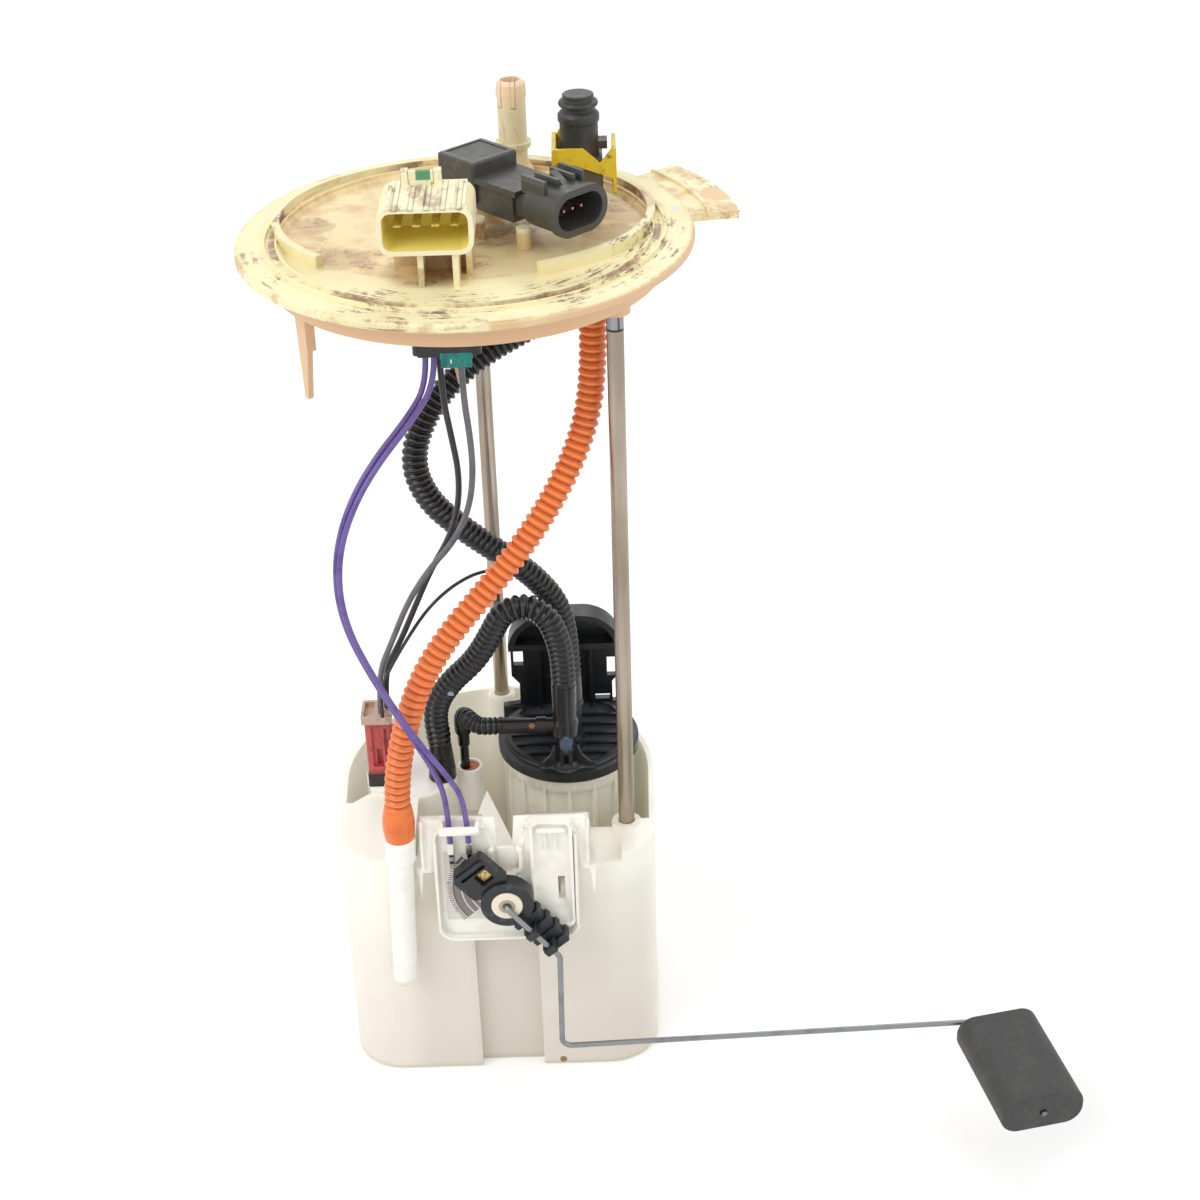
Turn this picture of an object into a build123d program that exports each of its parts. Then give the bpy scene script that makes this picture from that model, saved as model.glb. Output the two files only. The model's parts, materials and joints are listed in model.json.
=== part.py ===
from build123d import *
import math
import os

# Fuel pump module: a tank flange on two sprung guide rods, over a reservoir with pump, filter and sender.
# Millimetres, +Z up. The origin is on the flange axis, on the plane that the reservoir stands on.
# The level sender is on the -Y side.

FIT = 0.02  # a pin pressed or moulded into its hole, per side
RUNNING = 0.05  # a shaft that turns or slides in its hole, per side
SEAT = 0.3  # curved faces of pieces that rest beside each other

# ---- tank flange
FLANGE_TOP = 355.0
RIM_R = 84.0
RIM_THICK = 3.5
SKIRT_R = 73.0
SKIRT_WALL = 2.5
SKIRT_DEPTH = 13.0
FLOOR_DROP = 1.5  # the middle lies this far under the rim
FLOOR_THICK = 4.0
FLOOR_R = 67.0
RIDGE_HIGH = 1.2
RIDGE_WIDE = 1.6
RIDGE_RADII = (68.0, 72.4)
DAM_AT = (-1.0, 14.0)  # oval wall that keeps water off the connectors, open at the front
DAM_HALF = (69.5, 58.0)
DAM_WIDE = 3.0
DAM_HIGH = 4.3
DAM_ENDS = ((-53.8, -29.2), (26.3, -37.0))
TAB_ANGLES = (7.0, 39.0)
TAB_R = 102.0
TAB_THICK = 3.0
PRONG_ANGLE = 218.4
PRONG_WIDE = 6.4
PRONG_LONG = 31.0
PRONG_THICK = 2.2

# ---- guide rods and springs
ROD_R = 3.175
ROD_AT = ((53.5, -37.0), (0.0, 60.0))
ROD_BOSS_R = 5.65
ROD_BOSS_LONG = 18.5
ROD_SOCKET = 15.0
GUIDE_R = 6.0
GUIDE_BORE_R = 5.2
BUSH_R = 4.6
BUSH_LONG = 12.0
STOP_R = 4.7
STOP_THICK = 2.0
ROD_TAIL = 4.0
SPRING_R = 4.0
SPRING_WIRE_R = 0.55
SPRING_TURNS = 9

# ---- vapour pipe, moulded with the flange
VAPOUR_AT = (17.0, 60.0)
VAPOUR_R = 5.5
VAPOUR_BORE_R = 3.6
VAPOUR_HIGH = 37.0
VAPOUR_COLLAR_R = 6.9
VAPOUR_COLLAR_HIGH = 12.0
VAPOUR_TAIL = 11.0

# ---- four-way connector, moulded with the flange
SHROUD_X = -10.6
SHROUD_WIDE = 33.0
SHROUD_TALL = 17.0
SHROUD_FRONT_Y = -50.0
SHROUD_BACK_Y = -23.0
SHROUD_RISE = 11.0
SHROUD_WALL = 1.7
SHROUD_CORNER = 5.0
SHROUD_LEGS = ((-13.2, -47.0, -26.0), (-1.0, -49.0, -26.0), (3.0, -37.0, -20.0))  # x, then from y to y
RISER_BACK_Y = -14.0
BLADE_WIDE = 2.8
BLADE_THICK = 0.8
BLADE_PITCH = 6.6
BLADE_COUNT = 4
PLUG_PITCH = 4.8  # the blades draw together on their way to the plug
POST_X = (-18.5, -6.8)
POST_SIZE = 2.6
POST_HIGH = 5.0

# ---- plug of the harness, under the flange
PLUG_X = (-18.6, 5.9)
PLUG_Y = (-46.0, -34.0)
PLUG_BOTTOM = 326.5
PLUG_TOP = 344.0
PLUG_WALL = 1.8
LOCK_X = (-9.0, 2.9)
LOCK_DEPTH = 4.3

# ---- tank pressure sensor
SENSOR_AT = (5.0, 18.5)
SENSOR_TURN = -47.0
SENSOR_CAP = (20.0, 22.0)
SENSOR_RISE = 24.0
SENSOR_STEP = 5.4
SENSOR_FOOT = 5.0
SENSOR_REACH = 55.0
SENSOR_SHROUD_LONG = 17.0
SENSOR_SHROUD_WIDE = 25.0
SENSOR_SHROUD_TALL = 15.6
SENSOR_AXIS_RISE = 14.6
SENSOR_WALL = 1.8
GROMMET_R = 6.4
GROMMET_BORE_R = 3.2
SENSOR_POSTS = ((5.0, -3.6), (21.7, -14.5))
SENSOR_POST_R = 2.6
SENSOR_POST_STEP = 1.5

# ---- outlet fitting
OUTLET_AT = (42.6, 33.9)
OUTLET_STEM_R = 5.0
OUTLET_STEM_LONG = 13.0
OUTLET_BASE = 17.0
OUTLET_BASE_RISE = 3.3
OUTLET_FOOT_HIGH = 13.0
OUTLET_RISE = 38.0
OUTLET_BODY_R = 7.4
OUTLET_BORE_R = 3.8
PORT_R = 8.6
CLIP_THICK = 1.6
CLIP_FOOT_RISE = 3.2
CLIP_RISE = 21.3
CLIP_BAND = 6.0
CLIP_RIGHT = 13.6

# ---- reservoir
CUP_HIGH = 112.0
CUP_R = 66.0
CUP_SIDE = 64.5  # half width at the front
CUP_FRONT_Y = -59.0
CUP_CORNER = 21.0
CUP_WALL = 2.4
CUP_FLOOR = 3.0
CHANNEL_X = (-10.5, 15.8)
CHANNEL_DEEP = 4.7
CHANNEL_HIGH = 76.0
FIN_TIP = (-4.6, -12.9)
FIN_FOOT_X = (-13.5, 10.5)
STEP_X = (38.0, 51.0)
STEP_DROP = 4.0
LEFT_DECK = ((-66.0, -59.0), (-33.0, -59.0), (-33.0, -17.0), (-47.9, -10.9), (-54.8, -14.1), (-60.2, -19.4),
             (-66.0, -19.4))
RIGHT_DECK_Y = -35.5
VALVE_AT = (-10.0, 36.0)
VALVE_R = 7.0
VALVE_STEM_R = 1.6

# ---- pump
PUMP_AT = (-37.0, 2.0)
PUMP_R = 17.2
SLEEVE_R = 19.0
SLEEVE_GAP = 0.3
SLEEVE_CAP = 2.5
PUMP_BOTTOM = 26.0
LEDGE_R = 11.0
LEDGE_THICK = 3.0
ISOLATOR_THICK = 4.0
PUMP_OUTLET = (-23.5, -2.0)
PUMP_OUTLET_R = 4.6
PUMP_CUFF_R = 5.9
PUMP_PLUG_AT = (-48.1, -8.0)
PUMP_PLUG = (10.3, 10.4)
PUMP_PEDESTAL = 3.8
PUMP_PLUG_BASE = 5.9
PUMP_PLUG_HIGH = 26.1
PUMP_LOCK = (12.4, 13.4)
PUMP_LOCK_THICK = 3.4

# ---- filter
FILTER_AT = (30.0, 15.0)
FILTER_R = 28.0
FILTER_WALL = 2.0
FILTER_BOTTOM = 7.0
FILTER_RIBS = 16
RIB_DEEP = 1.4
CAP_R = 30.0
CAP_BOTTOM = 115.0
CAP_TOP = 122.5
CAP_RIB = 1.4
CAP_RIB_Y = (-2.0, 5.0, 12.0, 19.0, 26.0)
GUSSET_ANGLES = (-165.0, -110.0, -70.0, -15.0, 60.0, 120.0)
TEE_AT = (29.3, -8.0)
TEE_STEM_R = 3.3
TEE_CUFF_R = 5.6
TEE_CUFF = (137.0, 161.0)
BRANCH_Z = 141.0
BRANCH_R = 3.4
BRANCH_END_X = 3.3
PORT_AT = (31.5, 10.0)
PORT_CUFF_R = 5.4
PORT_HIGH = 142.0
UPRIGHT_X = 29.4
UPRIGHT_Y = (36.0, 39.0)
UPRIGHT_HALF = 23.4
UPRIGHT_WAIST = 20.1
UPRIGHT_FOOT = 27.6
HEAD_HALF = 24.0
HEAD_Z = (153.5, 170.4)
HEAD_CORNER = 16.5
HEAD_RIM = 2.6
HEAD_REACH = 7.0
UPRIGHT_WINDOWS = ((-22.3, -18.1, 142.0, 152.5), (18.0, 21.7, 135.5, 145.0), (12.6, 19.0, 123.5, 126.0))

# ---- jet pump
JET_AT = (-12.4, 5.5)
JET_R = 5.4
JET_WALL = 1.2
JET_TOP = 112.0
JET_PLUG_AT = (-14.2, 5.5)
JET_PLUG_R = 1.9
JET_PLUG_TOP = 130.0

# ---- return pipe
PIPE_TOP = (-36.4, -66.0, 125.0)
PIPE_FOOT = (-39.3, -66.0, 56.0)
PIPE_R = 5.0
PIPE_BORE_R = 3.6
PIPE_COLLAR_R = 6.0
PIPE_COLLAR_LONG = 6.5

# ---- level sender
SENDER_X = 4.9
SENDER_PIVOT_Z = 102.7
BRACKET_BACK_Y = -63.6
BRACKET_FRONT_Y = -66.0
BRACKET_RIM_Y = -69.0
BRACKET_TOP = 137.5
BRACKET_HALF = 33.5
BRACKET_BAND = 26.5
PRONG_HALF = 36.0
PRONG_Z = 97.0
TRAY_HALF = 28.6
TRAY_BOTTOM = 78.0
TRAY_CORNER = 7.0
RIM_WALL = 1.6
NOTCH_TOP_HALF = 9.0
NOTCH_FOOT_HALF = 4.4
NOTCH_FOOT = 122.2
NOTCH_POCKET_HALF = 5.2
NOTCH_BOTTOM = 110.0
PANEL_X = (14.6, 31.6)
CARD_X = (-20.0, 2.0)
CARD_Z = (87.0, 121.0)
CARD_THICK = 0.7
SENDER_PINS_X = (-16.6, -9.4)
SENDER_CRIMP_TOP = 127.0
PIVOT_BUSH_R = 6.2
PIVOT_BUSH_FRONT_Y = -78.4
HOLDER_Y = (-77.6, -71.4)
HOLDER_TURN = -49.0
WINDOW_FLOOR_Y = -73.4
HOLDER_RING_R = 10.5
HEAD_U = (-24.0, -8.0)
HEAD_V = (-7.4, 8.0)
TAIL_U = (8.0, 31.0)
TAIL_V = (-6.0, 6.4)
WIRE_R = 1.15
WIRE_Y = -80.0
WIRE_ELBOW = (25.0, 77.6)
WIRE_LOW = (24.3, 29.6)
WIRE_FAR = (201.0, 36.4)
WIRE_BEND = 4.0
FLOAT_LONG = 50.0
FLOAT_WIDE = 34.0
FLOAT_THICK = 17.0
FLOAT_START_Y = -83.0
FLOAT_TURN = 12.0
FLOAT_EDGE = 1.5

# ---- hoses and wires
HOSE_R = 4.8
RETURN_CUFF_R = 6.1
JUMPER_R = 3.6
LEAD_R = 1.2
SENDER_LEAD_R = 1.1
GROUND_R = 0.7

# Derived levels
RIM_UNDER = FLANGE_TOP - RIM_THICK
SKIRT_BOTTOM = FLANGE_TOP - SKIRT_DEPTH
FLOOR_TOP = FLANGE_TOP - FLOOR_DROP
FLOOR_UNDER = FLOOR_TOP - FLOOR_THICK
ROD_BOSS_BOTTOM = FLOOR_UNDER - ROD_BOSS_LONG
BUSH_BOTTOM = CUP_HIGH - BUSH_LONG
STOP_TOP = BUSH_BOTTOM - SEAT
STOP_BOTTOM = STOP_TOP - STOP_THICK
SPRING_FLOOR = CUP_FLOOR + 1.0
SHROUD_Z = FLANGE_TOP + SHROUD_RISE + SHROUD_TALL / 2
HOSE_SPIGOT_Z = FLOOR_UNDER - 11.0
SLEEVE_BORE_R = PUMP_R + SLEEVE_GAP
CUP_INNER_Y = CUP_FRONT_Y + CUP_WALL
PUMP_PLUG_LOW = CUP_HIGH + PUMP_PEDESTAL + PUMP_PLUG_BASE
PUMP_PLUG_TOP = PUMP_PLUG_LOW + PUMP_PLUG_HIGH

# Routes of the hoses and wires, as points that the runs between arcs meet at
RETURN_TOP = (45.7, -28.0)
RETURN_ROUTE = [
    (*RETURN_TOP, HOSE_SPIGOT_Z), (*RETURN_TOP, 313.0), (41.8, -30.8, 289.0), (31.5, -38.0, 268.0),
    (18.0, -46.0, 249.5), (3.0, -52.0, 233.0), (-12.0, -58.0, 217.5), (-24.0, -62.5, 199.5),
    (-32.0, -65.4, 176.0), (PIPE_TOP[0], PIPE_TOP[1], 151.0), PIPE_TOP,
]
SUPPLY_ROUTE = [
    (*OUTLET_AT, HOSE_SPIGOT_Z), (*OUTLET_AT, 325.0), (34.0, 28.0, 311.5), (20.5, 19.5, 307.0),
    (5.0, 10.0, 302.5), (-9.5, 1.5, 294.0), (-20.5, -4.5, 281.0), (-25.6, -7.5, 264.5), (-20.5, -7.0, 247.5),
    (-8.0, -3.5, 232.5), (6.7, 0.0, 218.4), (19.2, 4.5, 205.0), (29.0, 8.4, 188.0), (*PORT_AT, 165.0),
    (*PORT_AT, PORT_HIGH),
]
PUMP_ROUTE = [
    (*PUMP_OUTLET, CUP_HIGH + SEAT), (*PUMP_OUTLET, 128.0), (-25.2, -2.2, 146.5), (-17.5, -4.4, 161.0),
    (-6.5, -6.8, 172.5), (1.0, -8.6, 186.5), (6.0, -10.2, 197.6), (15.8, -11.2, 201.4), (24.2, -11.0, 195.4),
    (28.2, -9.4, 182.0), (*TEE_AT, 170.5), (*TEE_AT, TEE_CUFF[1]),
]
JUMPER_ROUTE = [
    (BRANCH_END_X, TEE_AT[1], BRANCH_Z), (-1.6, TEE_AT[1], BRANCH_Z), (-7.0, -6.0, 139.6),
    (-11.6, -1.4, 141.4), (*JET_PLUG_AT, 138.0), (*JET_PLUG_AT, JET_PLUG_TOP),
]
LEAD_TOP = PUMP_PLUG_TOP + PUMP_LOCK_THICK
GREY_ROUTE = [
    (-1.9, -40.0, PLUG_BOTTOM), (-1.9, -40.0, 307.7), (-0.4, -39.4, 291.5), (-0.1, -38.4, 275.5),
    (-2.6, -36.4, 259.5), (-9.2, -33.4, 244.0), (-19.6, -29.4, 230.2), (-29.6, -24.6, 212.7),
    (-38.0, -18.4, 190.5), (-46.0, -10.8, 169.5), (-46.0, -10.8, LEAD_TOP),
]
BLACK_ROUTE = [
    (-9.6, -38.6, PLUG_BOTTOM), (-9.6, -38.6, 307.8), (-7.4, -37.4, 290.5), (-5.6, -35.2, 274.0),
    (-7.0, -31.8, 257.5), (-11.6, -27.6, 242.0), (-19.8, -22.8, 226.0), (-27.8, -18.0, 206.0),
    (-35.7, -13.2, 186.0), (-43.8, -6.6, 169.0), (-43.8, -6.6, LEAD_TOP),
]
PURPLE_ROUTE = [
    (-14.4, -41.0, PLUG_BOTTOM), (-14.4, -41.0, 313.5), (-22.0, -49.6, 304.0), (-33.0, -59.0, 294.0),
    (-42.0, -66.5, 282.0), (-48.4, -71.0, 266.0), (-50.4, -73.0, 249.0), (-48.4, -73.6, 232.0),
    (-42.6, -73.8, 215.0), (-34.6, -73.8, 197.0), (-26.6, -73.4, 180.0), (-19.8, -71.6, 163.5),
    (SENDER_PINS_X[0], -67.8, 147.0), (SENDER_PINS_X[0], -67.8, SENDER_CRIMP_TOP),
]
PURPLE_SECOND = [
    (-11.2, -41.8, PLUG_BOTTOM), (-11.2, -41.8, 314.0), (-19.4, -51.4, 303.4), (-30.6, -60.8, 292.8),
    (-39.4, -68.2, 281.0), (-45.6, -72.6, 265.6), (-47.6, -74.6, 249.0), (-45.6, -75.2, 232.6),
    (-39.8, -75.4, 216.0), (-31.8, -75.4, 198.4), (-23.6, -75.0, 181.0), (-15.0, -72.2, 163.5),
    (SENDER_PINS_X[1], -67.8, 147.0), (SENDER_PINS_X[1], -67.8, SENDER_CRIMP_TOP),
]
GROUND_END = (30.0, 24.0)
GROUND_ROUTE = [
    (-45.2, -14.0, LEAD_TOP), (-45.2, -14.0, 164.0), (-40.2, -17.4, 176.6), (-31.6, -17.2, 191.4),
    (-23.0, -12.0, 202.0), (-12.6, -5.4, 208.4), (-1.6, 2.8, 209.6), (9.5, 11.5, 204.0), (18.6, 17.6, 193.0),
    (26.0, 22.0, 178.0), (*GROUND_END, 160.0), (*GROUND_END, CAP_TOP + 20.0),
]


def disc(x, y, z0, z1, r):
    """Upright cylinder between two heights."""
    return Pos(x, y, z0) * Cylinder(r, z1 - z0, align=(Align.CENTER, Align.CENTER, Align.MIN))


def block(x0, x1, y0, y1, z0, z1):
    """Upright block between its limits."""
    return Pos((x0 + x1) / 2, (y0 + y1) / 2, (z0 + z1) / 2) * Box(abs(x1 - x0), abs(y1 - y0), abs(z1 - z0))


def turned(at, *profile):
    """Solid turned about the upright line through at, from a profile of (radius, height) points."""
    face = make_face(Polyline(*[(r, 0, z) for r, z in profile], close=True))
    return Pos(at[0], at[1], 0) * revolve(face, Axis.Z)


def sector(r_in, r_out, angles, z0, z1):
    """Piece of a ring, counter-clockwise between two angles."""
    sweep_angle = angles[1] - angles[0]
    outer = CenterArc((0, 0), r_out, angles[0], sweep_angle)
    inner = CenterArc((0, 0), r_in, angles[0], sweep_angle)
    edges = [outer, Line(outer @ 1, inner @ 1), inner, Line(inner @ 0, outer @ 0)]
    return Pos(0, 0, z0) * extrude(make_face(edges), z1 - z0)


def front_plate(points, y_front, y_back):
    """Upright plate that faces -Y, cut to (x, z) points."""
    face = make_face(Polyline(*[(x, y_back, z) for x, z in points], close=True))
    return extrude(face, amount=y_back - y_front, dir=(0, -1, 0))


def front_slab(face, y_front, y_back):
    """Upright slab that faces -Y, from a flat outline drawn in (x, z)."""
    return extrude(Plane(origin=(0, y_back, 0), x_dir=(1, 0, 0), z_dir=(0, -1, 0)) * face, y_back - y_front)


def arc_radii(points):
    """The largest radius that fits each corner of a route."""
    radii = []
    for before, here, after in zip(points, points[1:], points[2:]):
        first, second = here - before, after - here
        turn = math.radians(first.get_angle(second))
        radii.append(0.45 * min(first.length, second.length) / math.tan(turn / 2))
    return radii


def cord(name, route, r):
    """Round cord along straight runs joined by tangent arcs."""
    points = [Vector(*p) for p in route]
    radii = arc_radii(points)
    path = FilletPolyline(*points, radius=radii)
    solid = sweep(Plane(origin=path @ 0, z_dir=path % 0) * Circle(r), path=path)
    print(f"{name}: {path.length:.0f} mm, radii {min(radii):.0f} to {max(radii):.0f}, "
          f"volume ratio {solid.volume / (math.pi * r * r * path.length):.3f}")
    return solid


def flange_terminals():
    """Four bent blades, from the connector's mouth down into the harness plug."""
    middle = (BLADE_COUNT - 1) / 2
    rear_y, lead_z, plug_y = SHROUD_BACK_Y + 3, FLOOR_TOP - FLOOR_THICK / 2, (PLUG_Y[0] + PLUG_Y[1]) / 2
    blades = []
    for i in range(BLADE_COUNT):
        x0 = SHROUD_X + (i - middle) * BLADE_PITCH - BLADE_WIDE / 2
        x1 = x0 + BLADE_WIDE
        foot0 = (PLUG_X[0] + PLUG_X[1]) / 2 + (i - middle) * PLUG_PITCH - BLADE_WIDE / 2
        foot1 = foot0 + BLADE_WIDE
        run = block(x0, x1, SHROUD_FRONT_Y + 5, rear_y, SHROUD_Z, SHROUD_Z + BLADE_THICK)
        run += block(x0, x1, rear_y - BLADE_THICK, rear_y, lead_z, SHROUD_Z + BLADE_THICK)
        plan = Polyline((x0, rear_y), (x1, rear_y), (foot1, plug_y), (foot0, plug_y), close=True)
        run += Pos(0, 0, lead_z) * extrude(make_face(plan), BLADE_THICK)
        run += block(foot0, foot1, plug_y, plug_y + BLADE_THICK, PLUG_TOP - 8, lead_z + BLADE_THICK)
        blades.append(run)
    return Part() + blades


def connector_shroud():
    """Outer and inner form of the four-way connector on the flange."""
    outline = RectangleRounded(SHROUD_WIDE, SHROUD_TALL, SHROUD_CORNER)
    mouth = RectangleRounded(SHROUD_WIDE - 2 * SHROUD_WALL, SHROUD_TALL - 2 * SHROUD_WALL,
                             SHROUD_CORNER - SHROUD_WALL)
    place = Pos(SHROUD_X, SHROUD_Z)
    outer = front_slab(place * outline, SHROUD_FRONT_Y, SHROUD_BACK_Y)
    inner = front_slab(place * mouth, SHROUD_FRONT_Y - 1, SHROUD_BACK_Y - 3)
    half, low, high = SHROUD_WIDE / 2, SHROUD_Z - SHROUD_TALL / 2, SHROUD_Z + SHROUD_TALL / 2
    outer += block(SHROUD_X - half + 3, SHROUD_X + half - 3, SHROUD_BACK_Y - 4, RISER_BACK_Y,
                   FLOOR_TOP - 1, high - 3)
    for x, y0, y1 in SHROUD_LEGS:
        outer += block(x - 1, x + 1, y0, y1, FLOOR_TOP - 1, low + SHROUD_WALL)
    outer += block(SHROUD_LEGS[0][0], SHROUD_LEGS[-1][0], -32, -30, FLOOR_TOP - 1, low + SHROUD_WALL)
    for x in (SHROUD_X - half + 4, SHROUD_X - 1, SHROUD_X + half - 7, SHROUD_X + half - 3):
        outer += block(x - 0.7, x + 0.7, SHROUD_FRONT_Y + 2, SHROUD_BACK_Y - 6, high - 1, high + 0.9)
    for x in POST_X:
        outer += block(x - POST_SIZE / 2, x + POST_SIZE / 2, SHROUD_BACK_Y - 3.4, SHROUD_BACK_Y,
                       high - 2, high + POST_HIGH)
    outer += block(POST_X[0], POST_X[1], SHROUD_BACK_Y - 1.4, SHROUD_BACK_Y, high - 2, high + POST_HIGH - 1)
    return outer, inner


def prong():
    """Tapered finger that hangs from the skirt."""
    half = PRONG_WIDE / 2
    outline = Polyline((0, -half, SKIRT_BOTTOM + 2), (0, half, SKIRT_BOTTOM + 2),
                       (0, half, SKIRT_BOTTOM - 12), (0, 0.6, SKIRT_BOTTOM - PRONG_LONG),
                       (0, -1.4, SKIRT_BOTTOM - PRONG_LONG), close=True)
    face_x = SKIRT_R - 0.1 - PRONG_THICK
    web = Pos(face_x, 0, 0) * extrude(make_face(outline), PRONG_THICK, dir=(1, 0, 0))
    rib = block(face_x - 1.6, face_x + 0.5, half - 1.6, half, SKIRT_BOTTOM - 12, SKIRT_BOTTOM + 2)
    return Rot(0, 0, PRONG_ANGLE) * (web + rib)


def dam():
    """Oval wall on the flange's floor, with a gap at the front."""
    along, across = DAM_HALF
    ring = Ellipse(along + DAM_WIDE / 2, across + DAM_WIDE / 2) - Ellipse(along - DAM_WIDE / 2,
                                                                          across - DAM_WIDE / 2)
    centre = Vector(*DAM_AT)
    gap = make_face(Polyline(centre, *[centre + 2.5 * (Vector(*end) - centre) for end in DAM_ENDS],
                             close=True))
    return Pos(0, 0, FLOOR_TOP - 1) * extrude(Pos(*DAM_AT) * ring - gap, DAM_HIGH + 1)


def flange():
    """One moulding: rim, skirt, dam, tab, prongs, rod sockets, vapour pipe and connector."""
    skirt_in = SKIRT_R - SKIRT_WALL
    body = turned((0, 0), (0, FLOOR_UNDER), (skirt_in, FLOOR_UNDER), (skirt_in, SKIRT_BOTTOM),
                  (SKIRT_R, SKIRT_BOTTOM), (SKIRT_R, RIM_UNDER), (RIM_R - 0.8, RIM_UNDER),
                  (RIM_R, RIM_UNDER + 0.8), (RIM_R, FLANGE_TOP - 1), (RIM_R - 1, FLANGE_TOP),
                  (FLOOR_R + 0.5, FLANGE_TOP), (FLOOR_R - 1, FLOOR_TOP), (0, FLOOR_TOP))
    for r in RIDGE_RADII:
        body += turned((0, 0), (r, FLANGE_TOP - 1), (r + RIDGE_WIDE, FLANGE_TOP - 1),
                       (r + RIDGE_WIDE - 0.4, FLANGE_TOP + RIDGE_HIGH), (r + 0.4, FLANGE_TOP + RIDGE_HIGH))
    body += dam()
    body += sector(RIM_R - 2, TAB_R, TAB_ANGLES, FLANGE_TOP - TAB_THICK, FLANGE_TOP)
    body += sector(TAB_R - 12, TAB_R - 10.5, TAB_ANGLES, FLANGE_TOP - 1, FLANGE_TOP + 1)
    body += prong()
    for angle in range(15, 375, 45):
        body += Rot(0, 0, angle) * block(22, skirt_in + 0.5, -0.8, 0.8, FLOOR_UNDER - 5, FLOOR_UNDER + 1)
    for x, y in ROD_AT:
        body += disc(x, y, ROD_BOSS_BOTTOM, FLOOR_UNDER + 1, ROD_BOSS_R)
    wall = PLUG_WALL + SEAT / 2
    body += block(PLUG_X[0] - wall, PLUG_X[1] + wall, PLUG_Y[0] - wall, PLUG_Y[1] + wall, PLUG_TOP - 12,
                  FLOOR_UNDER + 1)
    # finger behind the plug
    body += front_plate([(-6, FLOOR_UNDER + 1), (0, FLOOR_UNDER + 1), (-0.6, 322), (-2.4, 309),
                         (-3.8, 309), (-6, 322)], PLUG_Y[1] + wall - 0.5, PLUG_Y[1] + wall + 1.5)
    # vapour pipe, with a collar and a rounded lip
    top = FLANGE_TOP + VAPOUR_HIGH
    collar = FLANGE_TOP + VAPOUR_COLLAR_HIGH
    body += turned(VAPOUR_AT, (0, FLOOR_UNDER - VAPOUR_TAIL), (VAPOUR_R, FLOOR_UNDER - VAPOUR_TAIL),
                   (VAPOUR_R, FLOOR_UNDER), (VAPOUR_R + 2.4, FLOOR_TOP - 1),
                   (VAPOUR_R + 2.4, FLANGE_TOP + 1), (VAPOUR_R, FLANGE_TOP + 5), (VAPOUR_R, collar - 1),
                   (VAPOUR_COLLAR_R, collar - 1), (VAPOUR_COLLAR_R, collar + 1), (VAPOUR_R, collar + 1),
                   (VAPOUR_R, top - 7), (VAPOUR_R + 0.4, top - 5.5), (VAPOUR_R, top - 1.2),
                   (VAPOUR_R - 1.2, top), (0, top))
    # ports under and over the floor
    body += disc(*OUTLET_AT, HOSE_SPIGOT_Z, FLOOR_UNDER + 1, OUTLET_STEM_R + 1.8)
    body += disc(*OUTLET_AT, FLOOR_TOP - 1, FLANGE_TOP + OUTLET_BASE_RISE, PORT_R)
    body += disc(*RETURN_TOP, HOSE_SPIGOT_Z, FLOOR_UNDER + 1, HOSE_R - 0.4)
    body += disc(*SENSOR_AT, FLOOR_TOP - 1, FLANGE_TOP + SENSOR_FOOT, GROMMET_R + 2)
    for x, y in SENSOR_POSTS:
        body += disc(x, y, FLOOR_TOP - 1, FLANGE_TOP + SENSOR_FOOT + SENSOR_POST_STEP, SENSOR_POST_R)
        body += block(x - 0.8, x + 0.8, y, y + 7, FLOOR_TOP - 1, FLANGE_TOP + SENSOR_FOOT)
    outer, inner = connector_shroud()
    body += outer
    body -= inner
    for x, y in ROD_AT:
        body -= disc(x, y, ROD_BOSS_BOTTOM - 1, ROD_BOSS_BOTTOM + ROD_SOCKET, ROD_R + FIT)
    body -= disc(*VAPOUR_AT, FLOOR_UNDER - VAPOUR_TAIL - 1, top + 1, VAPOUR_BORE_R)
    body -= disc(*OUTLET_AT, FLANGE_TOP + OUTLET_BASE_RISE - OUTLET_STEM_LONG, FLANGE_TOP + 20,
                 OUTLET_STEM_R + FIT)
    body -= disc(*SENSOR_AT, FLOOR_UNDER - 1, FLANGE_TOP + SENSOR_FOOT + 1, GROMMET_R + FIT)
    body -= block(PLUG_X[0] - SEAT / 2, PLUG_X[1] + SEAT / 2, PLUG_Y[0] - SEAT / 2, PLUG_Y[1] + SEAT / 2,
                  PLUG_BOTTOM - 1, PLUG_TOP + SEAT)
    return body - flange_terminals()


def terminal_lock():
    """Green insert that locks the blades, between the two posts."""
    high = SHROUD_Z + SHROUD_TALL / 2
    x0, x1 = POST_X[0] + POST_SIZE / 2 + SEAT / 2, POST_X[1] - POST_SIZE / 2 - SEAT / 2
    y1 = SHROUD_BACK_Y - 1.4
    return block(x0, x1, y1 - 1.8, y1, high, high + POST_HIGH - 0.4) + block(x0 + 1, x1 - 1, y1 - 4, y1,
                                                                             high, high + 1.2)


def sensor_frame(shape):
    """Places a shape drawn along +X from the sensor's cap on the flange."""
    return Pos(SENSOR_AT[0], SENSOR_AT[1], 0) * Rot(0, 0, SENSOR_TURN) * shape


def sensor_oval(wide, tall, u0, u1):
    """Oval slab along the connector's axis, between two distances from the cap's centre."""
    axis_z = FLANGE_TOP + SENSOR_AXIS_RISE
    plane = Plane(origin=(u0, 0, axis_z), x_dir=(0, 1, 0), z_dir=(1, 0, 0))
    return extrude(plane * RectangleRounded(wide, tall, tall / 2 - 0.05), u1 - u0)


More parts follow.
